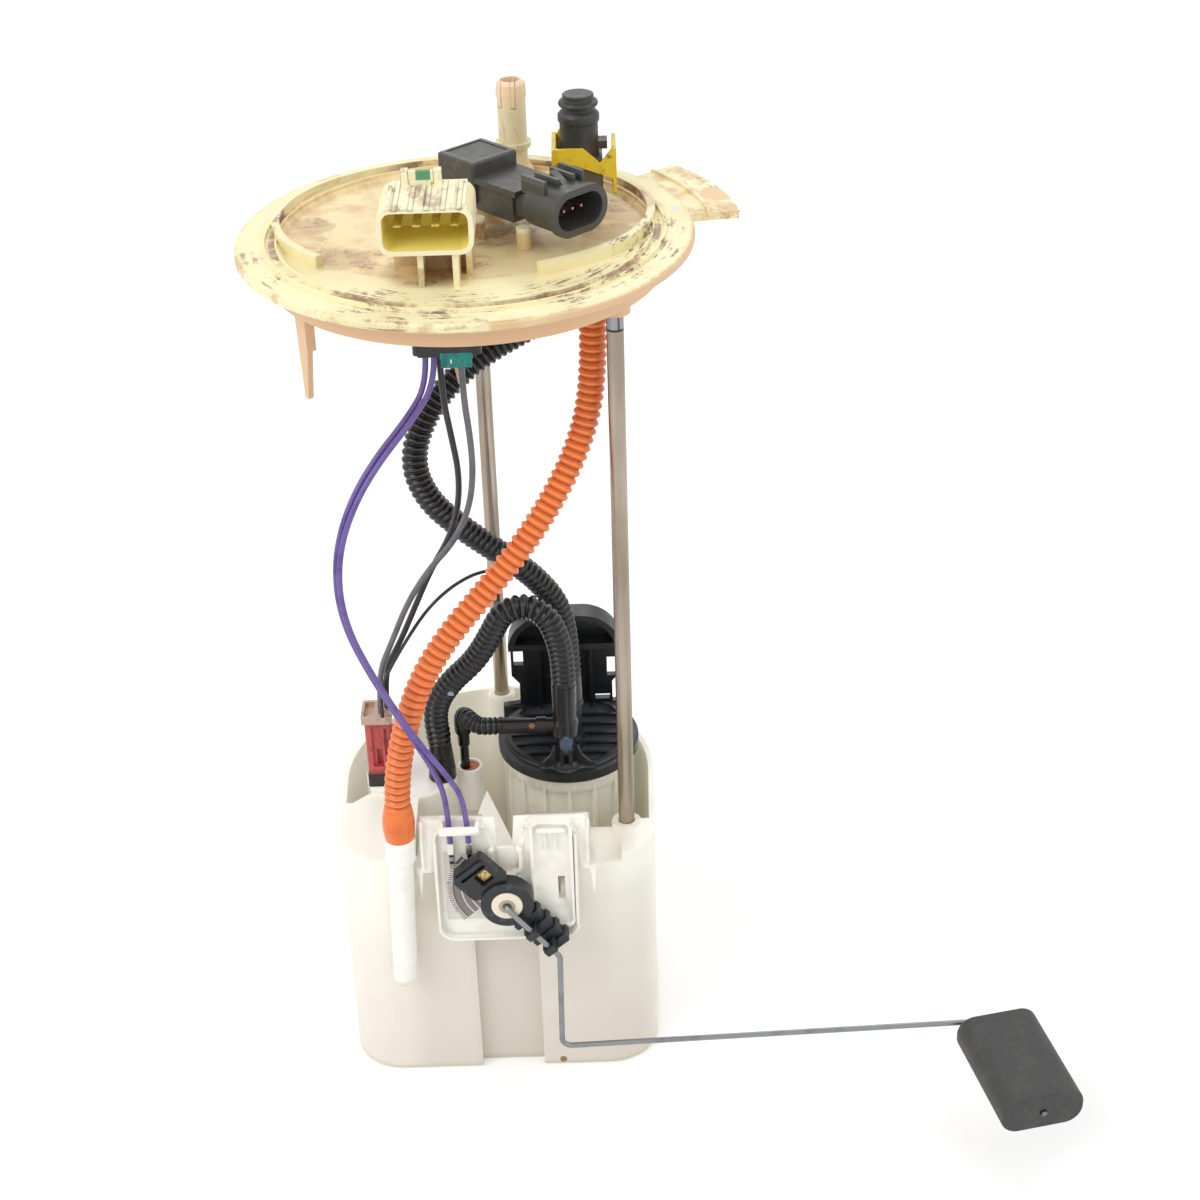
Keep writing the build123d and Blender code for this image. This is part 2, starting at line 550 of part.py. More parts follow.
def pressure_sensor():
    """Cap, platform, neck and oval connector with its latch ribs."""
    along, across = SENSOR_CAP
    low, top = FLANGE_TOP + SENSOR_FOOT, FLANGE_TOP + SENSOR_RISE
    step = top - SENSOR_STEP
    cap = block(-along / 2, along / 2, -across / 2, across / 2, low + 4, top)
    cap = fillet(cap.edges().filter_by(Axis.Z) + cap.faces().sort_by(Axis.Z)[-1].edges(), 1.2)
    cap -= block(-along / 2 + 2, along / 2 - 2, -across / 2 + 2.5, across / 2 - 2.5, top - 0.4, top + 1)
    cap += disc(0, 0, low, low + 5, GROMMET_R + 2)
    cap += disc(0, 0, FLOOR_UNDER, low + 1, GROMMET_BORE_R - FIT)
    mouth_u = SENSOR_REACH - SENSOR_SHROUD_LONG
    platform = block(along / 2 - 1, mouth_u - 6, -across / 2 + 0.6, across / 2 - 0.6, step - 2.2, step)
    body = platform + block(along / 2 - 1, mouth_u - 9, -across / 2 + 2, across / 2 - 3, low + 1, step - 1)
    body += block(mouth_u - 10, mouth_u + 1, -8, 8, low + 4, step - 1.5)
    shroud = sensor_oval(SENSOR_SHROUD_WIDE, SENSOR_SHROUD_TALL, mouth_u, SENSOR_REACH)
    flare = sensor_oval(SENSOR_SHROUD_WIDE + 1.6, SENSOR_SHROUD_TALL + 1.6, SENSOR_REACH - 2.5, SENSOR_REACH)
    roof = FLANGE_TOP + SENSOR_AXIS_RISE + SENSOR_SHROUD_TALL / 2
    for v, tall in ((-9.0, 3.4), (-2.6, 2.6), (4.6, 2.6), (9.0, 3.0)):
        shroud += block(mouth_u - 3, mouth_u + 9, v - 0.7, v + 0.7, roof - 3, roof + tall)
    ramp = make_face(Polyline((mouth_u + 2, 0, roof - 1), (mouth_u + 2, 0, roof + 3.4),
                              (mouth_u + 9, 0, roof), close=True))
    shroud += Pos(0, 2.6, 0) * extrude(ramp, amount=3.2, dir=(0, -1, 0))
    mouth = sensor_oval(SENSOR_SHROUD_WIDE - 2 * SENSOR_WALL, SENSOR_SHROUD_TALL - 2 * SENSOR_WALL,
                        mouth_u + 3, SENSOR_REACH + 1)
    whole = cap + body + shroud + flare - mouth
    return sensor_frame(whole) - sensor_terminals() - post_room()


def post_room():
    """Room for the two flange posts that steady the sensor."""
    high = FLANGE_TOP + SENSOR_FOOT + SENSOR_POST_STEP
    return Part() + [disc(x, y, FLOOR_TOP, high + SEAT / 2, SENSOR_POST_R + SEAT / 2)
                     for x, y in SENSOR_POSTS]


def sensor_terminals():
    """Three pins in the sensor's connector."""
    axis_z = FLANGE_TOP + SENSOR_AXIS_RISE
    start = SENSOR_REACH - SENSOR_SHROUD_LONG
    pins = [block(start, SENSOR_REACH - 4, v - 0.5, v + 0.5, axis_z - 0.5, axis_z + 0.5)
            for v in (-4.2, 0, 4.2)]
    return sensor_frame(Part() + pins)


def sensor_grommet():
    """Rubber ring of the sensor's port."""
    ring = disc(*SENSOR_AT, FLOOR_UNDER + 0.5, FLANGE_TOP + SENSOR_FOOT, GROMMET_R)
    return ring - disc(*SENSOR_AT, FLOOR_UNDER, FLANGE_TOP + SENSOR_FOOT + 1, GROMMET_BORE_R)


def outlet_fitting():
    """Upright quick-connect fitting on a square base, with a bead ring and a side lug."""
    base = FLANGE_TOP + OUTLET_BASE_RISE
    top = FLANGE_TOP + OUTLET_RISE
    r = OUTLET_BODY_R
    body = turned(OUTLET_AT, (0, base - OUTLET_STEM_LONG + 1),
                  (OUTLET_STEM_R, base - OUTLET_STEM_LONG + 1), (OUTLET_STEM_R, base), (r, base),
                  (r, top - 17), (r - 0.2, top - 16.4), (r - 0.2, top - 9.4), (r + 0.4, top - 8.6),
                  (r + 0.4, top - 6.4), (r - 0.6, top - 5.2), (r - 1.4, top - 4.6), (r - 1.4, top - 3.4),
                  (r - 0.2, top - 3.0), (r + 0.1, top - 2.2), (r - 0.2, top - 1.4), (r - 1.5, top - 1.0),
                  (r - 1.5, top), (0, top))
    half = OUTLET_BASE / 2
    x, y = OUTLET_AT
    foot = block(x - half, x + half, y - half, y + half, base, base + OUTLET_FOOT_HIGH)
    body += fillet(foot.edges().filter_by(Axis.Z), 1.5)
    body += block(x + r - 1, x + r + 3.0, y - 3.5, y + 2.5, top - 19, top - 16)
    return body - disc(x, y, top - 12, top + 1, OUTLET_BORE_R)


def outlet_plug():
    """Dust plug in the fitting's mouth."""
    x, y = OUTLET_AT
    top = FLANGE_TOP + OUTLET_RISE
    head = disc(x, y, top, top + 1.3, OUTLET_BODY_R - 1.5)
    head = fillet(head.edges().sort_by(Axis.Z)[-1], 0.5)
    return head + disc(x, y, top - 11, top + 0.5, OUTLET_BORE_R - FIT)


def retainer_clip():
    """Yellow clip round the fitting's base: dipping front band, right leg and left arm with its hook."""
    x, y = OUTLET_AT
    gap = OUTLET_BASE / 2 + SEAT
    x0, x1, y0, y1 = x - gap - CLIP_THICK, x + CLIP_RIGHT, y - gap - CLIP_THICK, y + gap
    high = FLANGE_TOP + CLIP_RISE
    low = high - CLIP_BAND
    outline = [(x0, low), (x0, high), (x + 1.3, high), (x + 7.5, low + 0.3), (x1 - 1.5, high), (x1, high),
               (x1, high - 17), (x1 - 1.2, high - 17), (x1 - 1.4, low - 5.6), (x + 0.8, low - 1.2),
               (x - 2.5, low)]
    band = front_plate(outline, y0, y0 + CLIP_THICK)
    leg = block(x1 - CLIP_THICK, x1, y0, y1 - 2, low - 5, high)
    leg += block(x1 - CLIP_THICK, x1, y0 + 2, y0 + 9, FLANGE_TOP + CLIP_FOOT_RISE, low - 4)
    arm = block(x0, x0 + CLIP_THICK, y0, y1 + CLIP_THICK, low, high)
    hook = block(x0, x0 + 4, y1, y1 + CLIP_THICK, low, high) + block(x0 + 2.4, x0 + 4, y1, y1 + CLIP_THICK,
                                                                     low, high + 1.2)
    return band + leg + arm + hook


def rod(at):
    """Steel guide rod, from its socket in the flange to its tail in the guide tube."""
    body = disc(*at, STOP_BOTTOM - ROD_TAIL, ROD_BOSS_BOTTOM + ROD_SOCKET - SEAT, ROD_R)
    return chamfer(body.edges().sort_by(Axis.Z)[0], 0.5)


def rod_stops():
    """Push-on rings that stop the rods under the bushes."""
    rings = []
    for at in ROD_AT:
        rings.append(disc(*at, STOP_BOTTOM, STOP_TOP, STOP_R)
                     - disc(*at, STOP_BOTTOM - 1, STOP_TOP + 1, ROD_R + FIT))
    return Part() + rings


def guide_bushes():
    """Flanged plastic bushes at the top of the guide tubes."""
    bushes = []
    for at in ROD_AT:
        bush = disc(*at, BUSH_BOTTOM, CUP_HIGH, BUSH_R) + disc(*at, CUP_HIGH, CUP_HIGH + 0.8, GUIDE_R - 0.5)
        bushes.append(bush - disc(*at, BUSH_BOTTOM - 1, CUP_HIGH + 2, ROD_R + RUNNING))
    return Part() + bushes


def springs():
    """Coil springs under the rod stops, one in each guide tube."""
    coils = []
    bottom, top = SPRING_FLOOR + SPRING_WIRE_R, STOP_BOTTOM - SPRING_WIRE_R - 0.1
    for x, y in ROD_AT:
        line = Helix(pitch=(top - bottom) / SPRING_TURNS, height=top - bottom, radius=SPRING_R)
        wire = sweep(Plane(origin=line @ 0, z_dir=line % 0) * Circle(SPRING_WIRE_R), path=line,
                     is_frenet=True)
        coils.append(Pos(x, y, bottom) * wire)
    return Part() + coils


def plug_body():
    """Outer form of the harness plug."""
    body = block(*PLUG_X, *PLUG_Y, PLUG_BOTTOM, PLUG_TOP)
    return fillet(body.edges().filter_by(Axis.Z), 2.0)


def harness_plug():
    """Black plug under the flange, with a recess for its lock."""
    body = plug_body() + block(PLUG_X[0] + 2, PLUG_X[1] - 2, PLUG_Y[0] - 1.2, PLUG_Y[0] + 1, PLUG_BOTTOM,
                               PLUG_BOTTOM + 5)
    body -= block(*LOCK_X, PLUG_Y[0] - 2, PLUG_Y[0] + 3, PLUG_BOTTOM - 1, PLUG_BOTTOM + 1.6)
    return body - flange_terminals()


def harness_plug_lock():
    """Teal lock at the plug's lower front edge, with three tabs."""
    x0, x1 = LOCK_X[0] + SEAT / 2, LOCK_X[1] - SEAT / 2
    y0, y1 = PLUG_Y[0] - 1.2, PLUG_Y[0] + 3 - SEAT / 2
    top = PLUG_BOTTOM + 1.6
    lock = block(x0, x1, y0, y1, PLUG_BOTTOM - 1, top)
    for x in (x0 + 2, (x0 + x1) / 2, x1 - 2):
        lock += block(x - 1.7, x + 1.7, y0, y0 + 1.6, PLUG_BOTTOM - LOCK_DEPTH, top)
    return lock


def cup_outline(inset=0.0):
    """Plan of the reservoir: half round at the back, square-shouldered at the front."""
    half, side, front = CUP_R - inset, CUP_SIDE - inset, CUP_FRONT_Y + inset
    back = ThreePointArc((half, 0), (0, half), (-half, 0))
    sides = [Line((-half, 0), (-side, front)), Line((-side, front), (side, front)),
             Line((side, front), (half, 0))]
    face = make_face([back, *sides])
    return fillet(face.vertices().sort_by(Axis.Y)[:2], CUP_CORNER - inset)


def reservoir():
    """Open-topped cup with guide tubes, a front channel, an inner fin and two decked corners."""
    plan = cup_outline()
    cup = extrude(plan, CUP_HIGH)
    cup = fillet(cup.faces().sort_by(Axis.Z)[0].edges(), 1.0)
    hollow = Pos(0, 0, CUP_FLOOR) * extrude(cup_outline(CUP_WALL), CUP_HIGH)
    keep = Part() + [disc(x, y, 0, CUP_HIGH, GUIDE_R) for x, y in ROD_AT]
    fin = make_face(Polyline(FIN_TIP, (FIN_FOOT_X[0], CUP_FRONT_Y), (FIN_FOOT_X[1], CUP_FRONT_Y), close=True))
    keep += extrude(fin, CUP_HIGH)
    channel_wall = CUP_FRONT_Y + CHANNEL_DEEP + CUP_WALL
    keep += block(CHANNEL_X[0] - CUP_WALL, CHANNEL_X[1] + CUP_WALL, CUP_FRONT_Y, channel_wall, 0,
                  CHANNEL_HIGH + CUP_WALL)
    deck = Pos(0, 0, CUP_HIGH - CUP_WALL) * extrude(cup_outline(CUP_WALL - 0.5), CUP_WALL)
    keep += deck & extrude(make_face(Polyline(*LEFT_DECK, close=True)), CUP_HIGH)
    keep += deck & block(STEP_X[1], CUP_R, CUP_FRONT_Y, RIGHT_DECK_Y, 0, CUP_HIGH)
    step = Pos(0, 0, -STEP_DROP) * deck
    keep += step & block(STEP_X[0] - CUP_WALL, STEP_X[1] + CUP_WALL, CUP_FRONT_Y, RIGHT_DECK_Y, 0, CUP_HIGH)
    for x in (STEP_X[0] - CUP_WALL / 2, STEP_X[1] + CUP_WALL / 2):
        riser = block(x - CUP_WALL / 2, x + CUP_WALL / 2, CUP_FRONT_Y, RIGHT_DECK_Y,
                      CUP_HIGH - STEP_DROP - CUP_WALL, CUP_HIGH)
        keep += riser & cup
    boss_x, boss_y = ROD_AT[0]
    keep += block(boss_x - 5, boss_x + 5, boss_y - 6.5, boss_y + 4, CUP_HIGH - 26, CUP_HIGH) & cup
    back_x, back_y = ROD_AT[1]
    keep += block(back_x - 4, back_x + 4, back_y, CUP_R - 1, 0, CUP_HIGH)
    body = cup - (hollow - keep)
    body -= block(*CHANNEL_X, CUP_FRONT_Y - 5, CUP_FRONT_Y + CHANNEL_DEEP, -1, CHANNEL_HIGH)
    drop = block(*STEP_X, CUP_FRONT_Y - 1, RIGHT_DECK_Y + 1, CUP_HIGH - STEP_DROP, CUP_HIGH + 1)
    body -= drop - disc(boss_x, boss_y, 0, CUP_HIGH + 2, GUIDE_R)
    # rib that the return pipe lies against, and the grooves that let fuel in under the floor
    pipe_x = (PIPE_TOP[0] + PIPE_FOOT[0]) / 2
    body += block(pipe_x - 1, pipe_x + 1, PIPE_TOP[1] + PIPE_R + SEAT, CUP_FRONT_Y + 1, 62, 108)
    body -= block(VALVE_AT[0] - 4, VALVE_AT[0] + 4, VALVE_AT[1], CUP_R + 1, -1, 1.2)
    body -= disc(*VALVE_AT, -1, CUP_FLOOR + 1, VALVE_STEM_R + FIT)
    for angle in range(0, 360, 60):
        hole = Pos(*VALVE_AT, 0) * Rot(0, 0, angle) * disc(4, 0, -1, CUP_FLOOR + 1, 1.1)
        body -= hole
    for x, y in ROD_AT:
        body -= disc(x, y, SPRING_FLOOR, BUSH_BOTTOM + 1, GUIDE_BORE_R)
        body -= disc(x, y, BUSH_BOTTOM, CUP_HIGH + 1, BUSH_R + FIT)
    return body - disc(*PUMP_AT, CUP_FLOOR, CUP_HIGH + 1, SLEEVE_R + SEAT)


def fill_valve():
    """Umbrella valve over the inlet holes in the reservoir's floor."""
    x, y = VALVE_AT
    cap = turned(VALVE_AT, (0, CUP_FLOOR + 0.05), (VALVE_R, CUP_FLOOR + 0.05),
                 (VALVE_R - 0.8, CUP_FLOOR + 0.9), (2.0, CUP_FLOOR + 1.8), (0, CUP_FLOOR + 1.8))
    return cap + disc(x, y, 1.5, CUP_FLOOR + 1, VALVE_STEM_R)


def pump_sleeve():
    """Domed holder of the pump, standing on the reservoir's floor."""
    x, y = PUMP_AT
    body = disc(x, y, CUP_FLOOR, CUP_HIGH, SLEEVE_R)
    body = fillet(body.edges().sort_by(Axis.Z)[-1], 1.2)
    body -= disc(x, y, PUMP_BOTTOM - ISOLATOR_THICK, CUP_HIGH - SLEEVE_CAP, SLEEVE_BORE_R)
    ledge = PUMP_BOTTOM - ISOLATOR_THICK - LEDGE_THICK
    body -= disc(x, y, CUP_FLOOR - 1, ledge, SLEEVE_BORE_R)
    body -= disc(x, y, CUP_FLOOR - 1, PUMP_BOTTOM, LEDGE_R)
    for angle in (30, 150, 270):
        body -= Pos(x, y, 0) * Rot(0, 0, angle) * block(SLEEVE_R - 6, SLEEVE_R + 1, -7, 7, CUP_FLOOR - 1,
                                                        ledge - 2)
    px, py = PUMP_PLUG_AT
    wide, deep = PUMP_PLUG[0] / 2, PUMP_PLUG[1] / 2
    pedestal = block(px - wide, px + wide, py - deep, py + deep, CUP_HIGH - 1, CUP_HIGH + PUMP_PEDESTAL)
    body += fillet(pedestal.edges().filter_by(Axis.Z), 1.2)
    port = disc(*PUMP_OUTLET, CUP_HIGH - 4, CUP_HIGH + 1, PUMP_OUTLET_R + FIT)
    return body - (port & disc(x, y, 0, CUP_HIGH + 1, SLEEVE_R))


def pump():
    """Electric pump: can, end caps, outlet boss and inlet nozzle."""
    x, y = PUMP_AT
    top = CUP_HIGH - SLEEVE_CAP - SEAT
    body = turned(PUMP_AT, (0, PUMP_BOTTOM), (PUMP_R - 1.5, PUMP_BOTTOM), (PUMP_R - 0.8, PUMP_BOTTOM + 10),
                  (PUMP_R, PUMP_BOTTOM + 10.8), (PUMP_R, top - 12), (PUMP_R - 0.8, top - 11),
                  (PUMP_R - 0.8, top - 1), (PUMP_R - 1.8, top), (0, top))
    body += disc(x, y, PUMP_BOTTOM - 9, PUMP_BOTTOM + 1, 4.0)
    outlet = disc(*PUMP_OUTLET, top - 1, CUP_HIGH + SEAT, PUMP_OUTLET_R) & disc(x, y, 0, CUP_HIGH + 1, PUMP_R)
    return body + outlet


def pump_isolator():
    """Rubber ring under the pump."""
    x, y = PUMP_AT
    ring = disc(x, y, PUMP_BOTTOM - ISOLATOR_THICK, PUMP_BOTTOM, SLEEVE_BORE_R - SEAT)
    return ring - disc(x, y, 0, PUMP_BOTTOM + 1, LEDGE_R - 1)


def inlet_strainer():
    """Flat sock filter round the pump's inlet nozzle."""
    x, y = PUMP_AT
    low = PUMP_BOTTOM - 9
    sock = turned(PUMP_AT, (0, CUP_FLOOR + 1), (12, CUP_FLOOR + 1), (15, CUP_FLOOR + 4), (13, CUP_FLOOR + 8),
                  (5.4, CUP_FLOOR + 10), (5.4, low + 5), (0, low + 5))
    return sock - disc(x, y, low, low + 6, 4.0 + FIT)


def pump_connector_base():
    """Black foot of the pump's connector."""
    x, y = PUMP_PLUG_AT
    wide, deep = PUMP_PLUG[0] / 2 + 0.4, PUMP_PLUG[1] / 2 + 0.4
    foot = block(x - wide, x + wide, y - deep, y + deep, CUP_HIGH + PUMP_PEDESTAL, PUMP_PLUG_LOW)
    return fillet(foot.edges().filter_by(Axis.Z), 1.2)


def pump_connector():
    """Pink-red housing with a latch channel and window in its front."""
    x, y = PUMP_PLUG_AT
    wide, deep = PUMP_PLUG[0] / 2, PUMP_PLUG[1] / 2
    low = PUMP_PLUG_LOW
    body = block(x - wide, x + wide, y - deep, y + deep, low, PUMP_PLUG_TOP)
    body = fillet(body.edges().filter_by(Axis.Z), 1.0)
    body -= block(x - 2.6, x + 1.6, y - deep - 1, y - deep + 1.4, low + 4, PUMP_PLUG_TOP - 2)
    body -= block(x + 2.6, x + 4.0, y - deep - 1, y - deep + 1.8, low + 5, PUMP_PLUG_TOP - 3)
    body -= block(x - 1.0, x + 1.6, y - deep - 1, y - deep + 3.4, low + 4, low + 12)
    return body + block(x + wide - 0.5, x + wide + 1.4, y - 2.5, y + 2.5, low + 4, PUMP_PLUG_TOP - 6)


def pump_connector_lock():
    """Tan plate on top of the connector, with a hole round each lead."""
    x, y = PUMP_PLUG_AT
    wide, deep = PUMP_LOCK[0] / 2, PUMP_LOCK[1] / 2
    plate = block(x - wide, x + wide, y - deep, y + deep, PUMP_PLUG_TOP, PUMP_PLUG_TOP + PUMP_LOCK_THICK)
    plate = fillet(plate.edges().filter_by(Axis.Z), 1.0)
    return plate - block(x - wide + 1.2, x - 1, y - deep + 1.4, y + deep - 1.4, PUMP_PLUG_TOP + 1.6,
                         LEAD_TOP + 1)


def jet_cup():
    """White cup of the jet pump, on a pipe down to the floor."""
    x, y = JET_AT
    body = turned(JET_AT, (0, CUP_FLOOR), (3.2, CUP_FLOOR), (3.2, JET_TOP - 24), (JET_R, JET_TOP - 20),
                  (JET_R, JET_TOP), (0, JET_TOP))
    body += block(x - 4.6, x, y - 1, y + 1, CUP_FLOOR, CUP_FLOOR + 6)
    return body - disc(x, y, JET_TOP - 9, JET_TOP + 1, JET_R - JET_WALL)


def jet_seal():
    """Orange seal in the cup's mouth, bored off its middle for the nozzle."""
    ring = disc(*JET_AT, JET_TOP - 4.5, JET_TOP - 0.8, JET_R - JET_WALL - FIT)
    return ring - disc(*JET_PLUG_AT, 0, JET_TOP + 1, JET_PLUG_R + FIT)


def jet_plug():
    """Black nozzle that carries the jumper hose down into the cup."""
    return turned(JET_PLUG_AT, (0, JET_TOP - 8), (JET_PLUG_R - 0.6, JET_TOP - 8),
                  (JET_PLUG_R, JET_TOP - 5), (JET_PLUG_R, JET_TOP + 10), (JET_PLUG_R + 0.6, JET_TOP + 11),
                  (JET_PLUG_R + 0.6, JET_PLUG_TOP - 1), (JUMPER_R - 0.4, JET_PLUG_TOP - 1),
                  (JUMPER_R - 0.4, JET_PLUG_TOP), (0, JET_PLUG_TOP))


def filter_housing():
    """Pale canister with upright ribs."""
    x, y = FILTER_AT
    can = disc(x, y, FILTER_BOTTOM, CAP_BOTTOM, FILTER_R - RIB_DEEP)
    can += disc(x, y, CAP_BOTTOM - 6, CAP_BOTTOM, FILTER_R)
    for i in range(FILTER_RIBS):
        rib = block(FILTER_R - RIB_DEEP - 1, FILTER_R, -0.8, 0.8, FILTER_BOTTOM + 4, CAP_BOTTOM - 1)
        can += Pos(x, y, 0) * Rot(0, 0, i * 360 / FILTER_RIBS) * rib
    can -= disc(x, y, FILTER_BOTTOM + FILTER_WALL, CAP_BOTTOM + 1, FILTER_R - RIB_DEEP - FILTER_WALL)
    for angle in (45, 165, 285):
        can += Pos(x, y, 0) * Rot(0, 0, angle) * block(10, 16, -3, 3, CUP_FLOOR, FILTER_BOTTOM + 1)
    return can


def filter_element():
    """Pleated paper ring inside the canister."""
    x, y = FILTER_AT
    inner = FILTER_R - RIB_DEEP - FILTER_WALL - 1.2
    pleats = 12
    points = []
    for i in range(pleats * 2):
        r = inner if i % 2 == 0 else inner - 5
        angle = math.pi * i / pleats
        points.append((x + r * math.cos(angle), y + r * math.sin(angle)))
    body = Pos(0, 0, FILTER_BOTTOM + FILTER_WALL) * extrude(make_face(Polyline(*points, close=True)), 96)
    return body - disc(x, y, 0, CAP_TOP, 10)


def upright():
    """Bracket on the cap: waisted panel with windows, under a rounded hood that reaches forward."""
    x = UPRIGHT_X
    y0, y1 = UPRIGHT_Y
    head_low, head_top = HEAD_Z
    plan = [(UPRIGHT_HALF, head_low + 2), (UPRIGHT_HALF, 136.7), (UPRIGHT_WAIST, 132.6),
            (UPRIGHT_WAIST, 122.2), (UPRIGHT_FOOT, 121.1), (UPRIGHT_FOOT, CAP_BOTTOM - 1.4)]
    panel = front_plate([(x + u, z) for u, z in plan] + [(x - u, z) for u, z in reversed(plan)], y0, y1)
    tall = 2 * HEAD_CORNER + 2
    arch = Pos(x, head_top - tall / 2) * RectangleRounded(2 * HEAD_HALF, tall, HEAD_CORNER)
    inner = Pos(x, head_top - tall / 2) * RectangleRounded(2 * (HEAD_HALF - HEAD_RIM), tall - 2 * HEAD_RIM,
                                                           HEAD_CORNER - HEAD_RIM)
    hood = front_slab(arch, y0, y1) + front_slab(arch - inner, y0 - HEAD_REACH, y0 + 0.5)
    panel += hood & block(x - HEAD_HALF, x + HEAD_HALF, y0 - HEAD_REACH, y1, head_low, head_top)
    panel += block(x - HEAD_HALF, x + HEAD_HALF, y0 - HEAD_REACH, y0 + 0.5, head_low, head_low + 3)
    for u0, u1, z0, z1 in UPRIGHT_WINDOWS:
        panel -= block(x + u0, x + u1, y0 - 1, y1 + 1, z0, z1)
    for side in (-1, 1):
        rib_x = x + side * 11
        panel += block(rib_x - CAP_RIB / 2, rib_x + CAP_RIB / 2, y0 - 3, y0 + 0.5, CAP_TOP - 2, head_low)
    return panel - disc(*FILTER_AT, 0, CAP_BOTTOM, FILTER_R + SEAT)


def filter_cap():
    """Black cap: stepped disc with ribs, hose ports and an upright bracket."""
    x, y = FILTER_AT
    cap = turned(FILTER_AT, (0, CAP_BOTTOM), (CAP_R - 1, CAP_BOTTOM), (CAP_R, CAP_BOTTOM + 1),
                 (CAP_R, CAP_TOP - 2.6), (CAP_R - 1, CAP_TOP - 2.2), (CAP_R - 3, CAP_TOP - 2.2),
                 (CAP_R - 3.4, CAP_TOP), (CAP_R - 5.4, CAP_TOP), (CAP_R - 5.8, CAP_TOP - 2),
                 (0, CAP_TOP - 2))
    ribs = Part() + [block(x - CAP_R, x + CAP_R, rib_y - CAP_RIB / 2, rib_y + CAP_RIB / 2, CAP_TOP - 2.6,
                           CAP_TOP) for rib_y in CAP_RIB_Y]
    cap += ribs & disc(x, y, CAP_BOTTOM, CAP_TOP, CAP_R - 4)
    # gussets with hollowed tops, round the tee's foot
    slope = [(1.0, CAP_TOP - 3), (15.0, CAP_TOP - 3), (15.0, CAP_TOP + 0.6), (10.0, CAP_TOP + 1.4),
             (6.8, CAP_TOP + 4.2), (5.0, CAP_TOP + 8.6), (4.6, CAP_TOP + 1.4), (1.0, CAP_TOP + 1.4)]
    web = front_plate(slope, -CAP_RIB / 2, CAP_RIB / 2)
    gussets = Part() + [Pos(*TEE_AT, 0) * Rot(0, 0, angle) * web for angle in GUSSET_ANGLES]
    cap += gussets & disc(x, y, CAP_BOTTOM, CAP_TOP + 20, CAP_R - 2)
    cap += turned(TEE_AT, (0, CAP_TOP - 3), (6.2, CAP_TOP - 3), (6.2, CAP_TOP - 0.6), (4.9, CAP_TOP + 1.4),
                  (0, CAP_TOP + 1.4))
    cap += turned(PORT_AT, (0, CAP_TOP - 2.4), (6.4, CAP_TOP - 2.4), (4.6, CAP_TOP + 3), (4.6, PORT_HIGH - 3),
                  (PORT_CUFF_R, PORT_HIGH - 2.5), (PORT_CUFF_R, PORT_HIGH), (0, PORT_HIGH))
    cap += disc(*GROUND_END, CAP_TOP - 2.4, GROUND_ROUTE[-1][2], 1.8)
    return cap + upright()


def pump_tee():
    """Smooth tee: cuff for the pump hose, side branch and stem down to the cap."""
    low, high = TEE_CUFF
    foot = CAP_TOP + 1.4
    body = turned(TEE_AT, (0, foot), (TEE_STEM_R - 0.6, foot), (TEE_STEM_R, foot + 4),
                  (TEE_STEM_R + 0.7, low - 1.5), (TEE_CUFF_R, low), (TEE_CUFF_R, low + 5),
                  (TEE_CUFF_R - 0.6, low + 8), (TEE_CUFF_R - 0.4, high), (0, high))
    x, y = TEE_AT
    line = Plane(origin=(x, y, BRANCH_Z), x_dir=(0, 1, 0), z_dir=(-1, 0, 0))
    reach = x - BRANCH_END_X
    body += extrude(line * Circle(BRANCH_R), reach)
    return body + extrude(line.offset(8) * Circle(BRANCH_R + 0.6), 4)


def return_pipe():
    """White pipe down the reservoir's front, cut slanting at its foot."""
    top, foot = Vector(*PIPE_TOP), Vector(*PIPE_FOOT)
    down = (foot - top).normalized()
    start, collar_end = top - down * 2, top + down * PIPE_COLLAR_LONG
    long = (foot - top).length
    face = Plane(origin=start, z_dir=down)
    body = extrude(face * Circle(PIPE_R), long + 2)
    body += extrude(face * Circle(PIPE_COLLAR_R), (collar_end - start).length)
    body -= extrude(face * Circle(PIPE_BORE_R), long + 12)
    body -= block(top.X - 20, top.X + 20, top.Y - 20, top.Y + 20, top.Z, top.Z + 10)
    slant = Plane(origin=foot, z_dir=(0.45, 0, -1))
    return split(body, bisect_by=slant, keep=Keep.BOTTOM)


def mirrored(points):
    """Closes a right-hand outline by its mirror image about the sender's middle line."""
    right = [(SENDER_X + x, z) for x, z in points]
    left = [(SENDER_X - x, z) for x, z in reversed(points)]
    return right + left


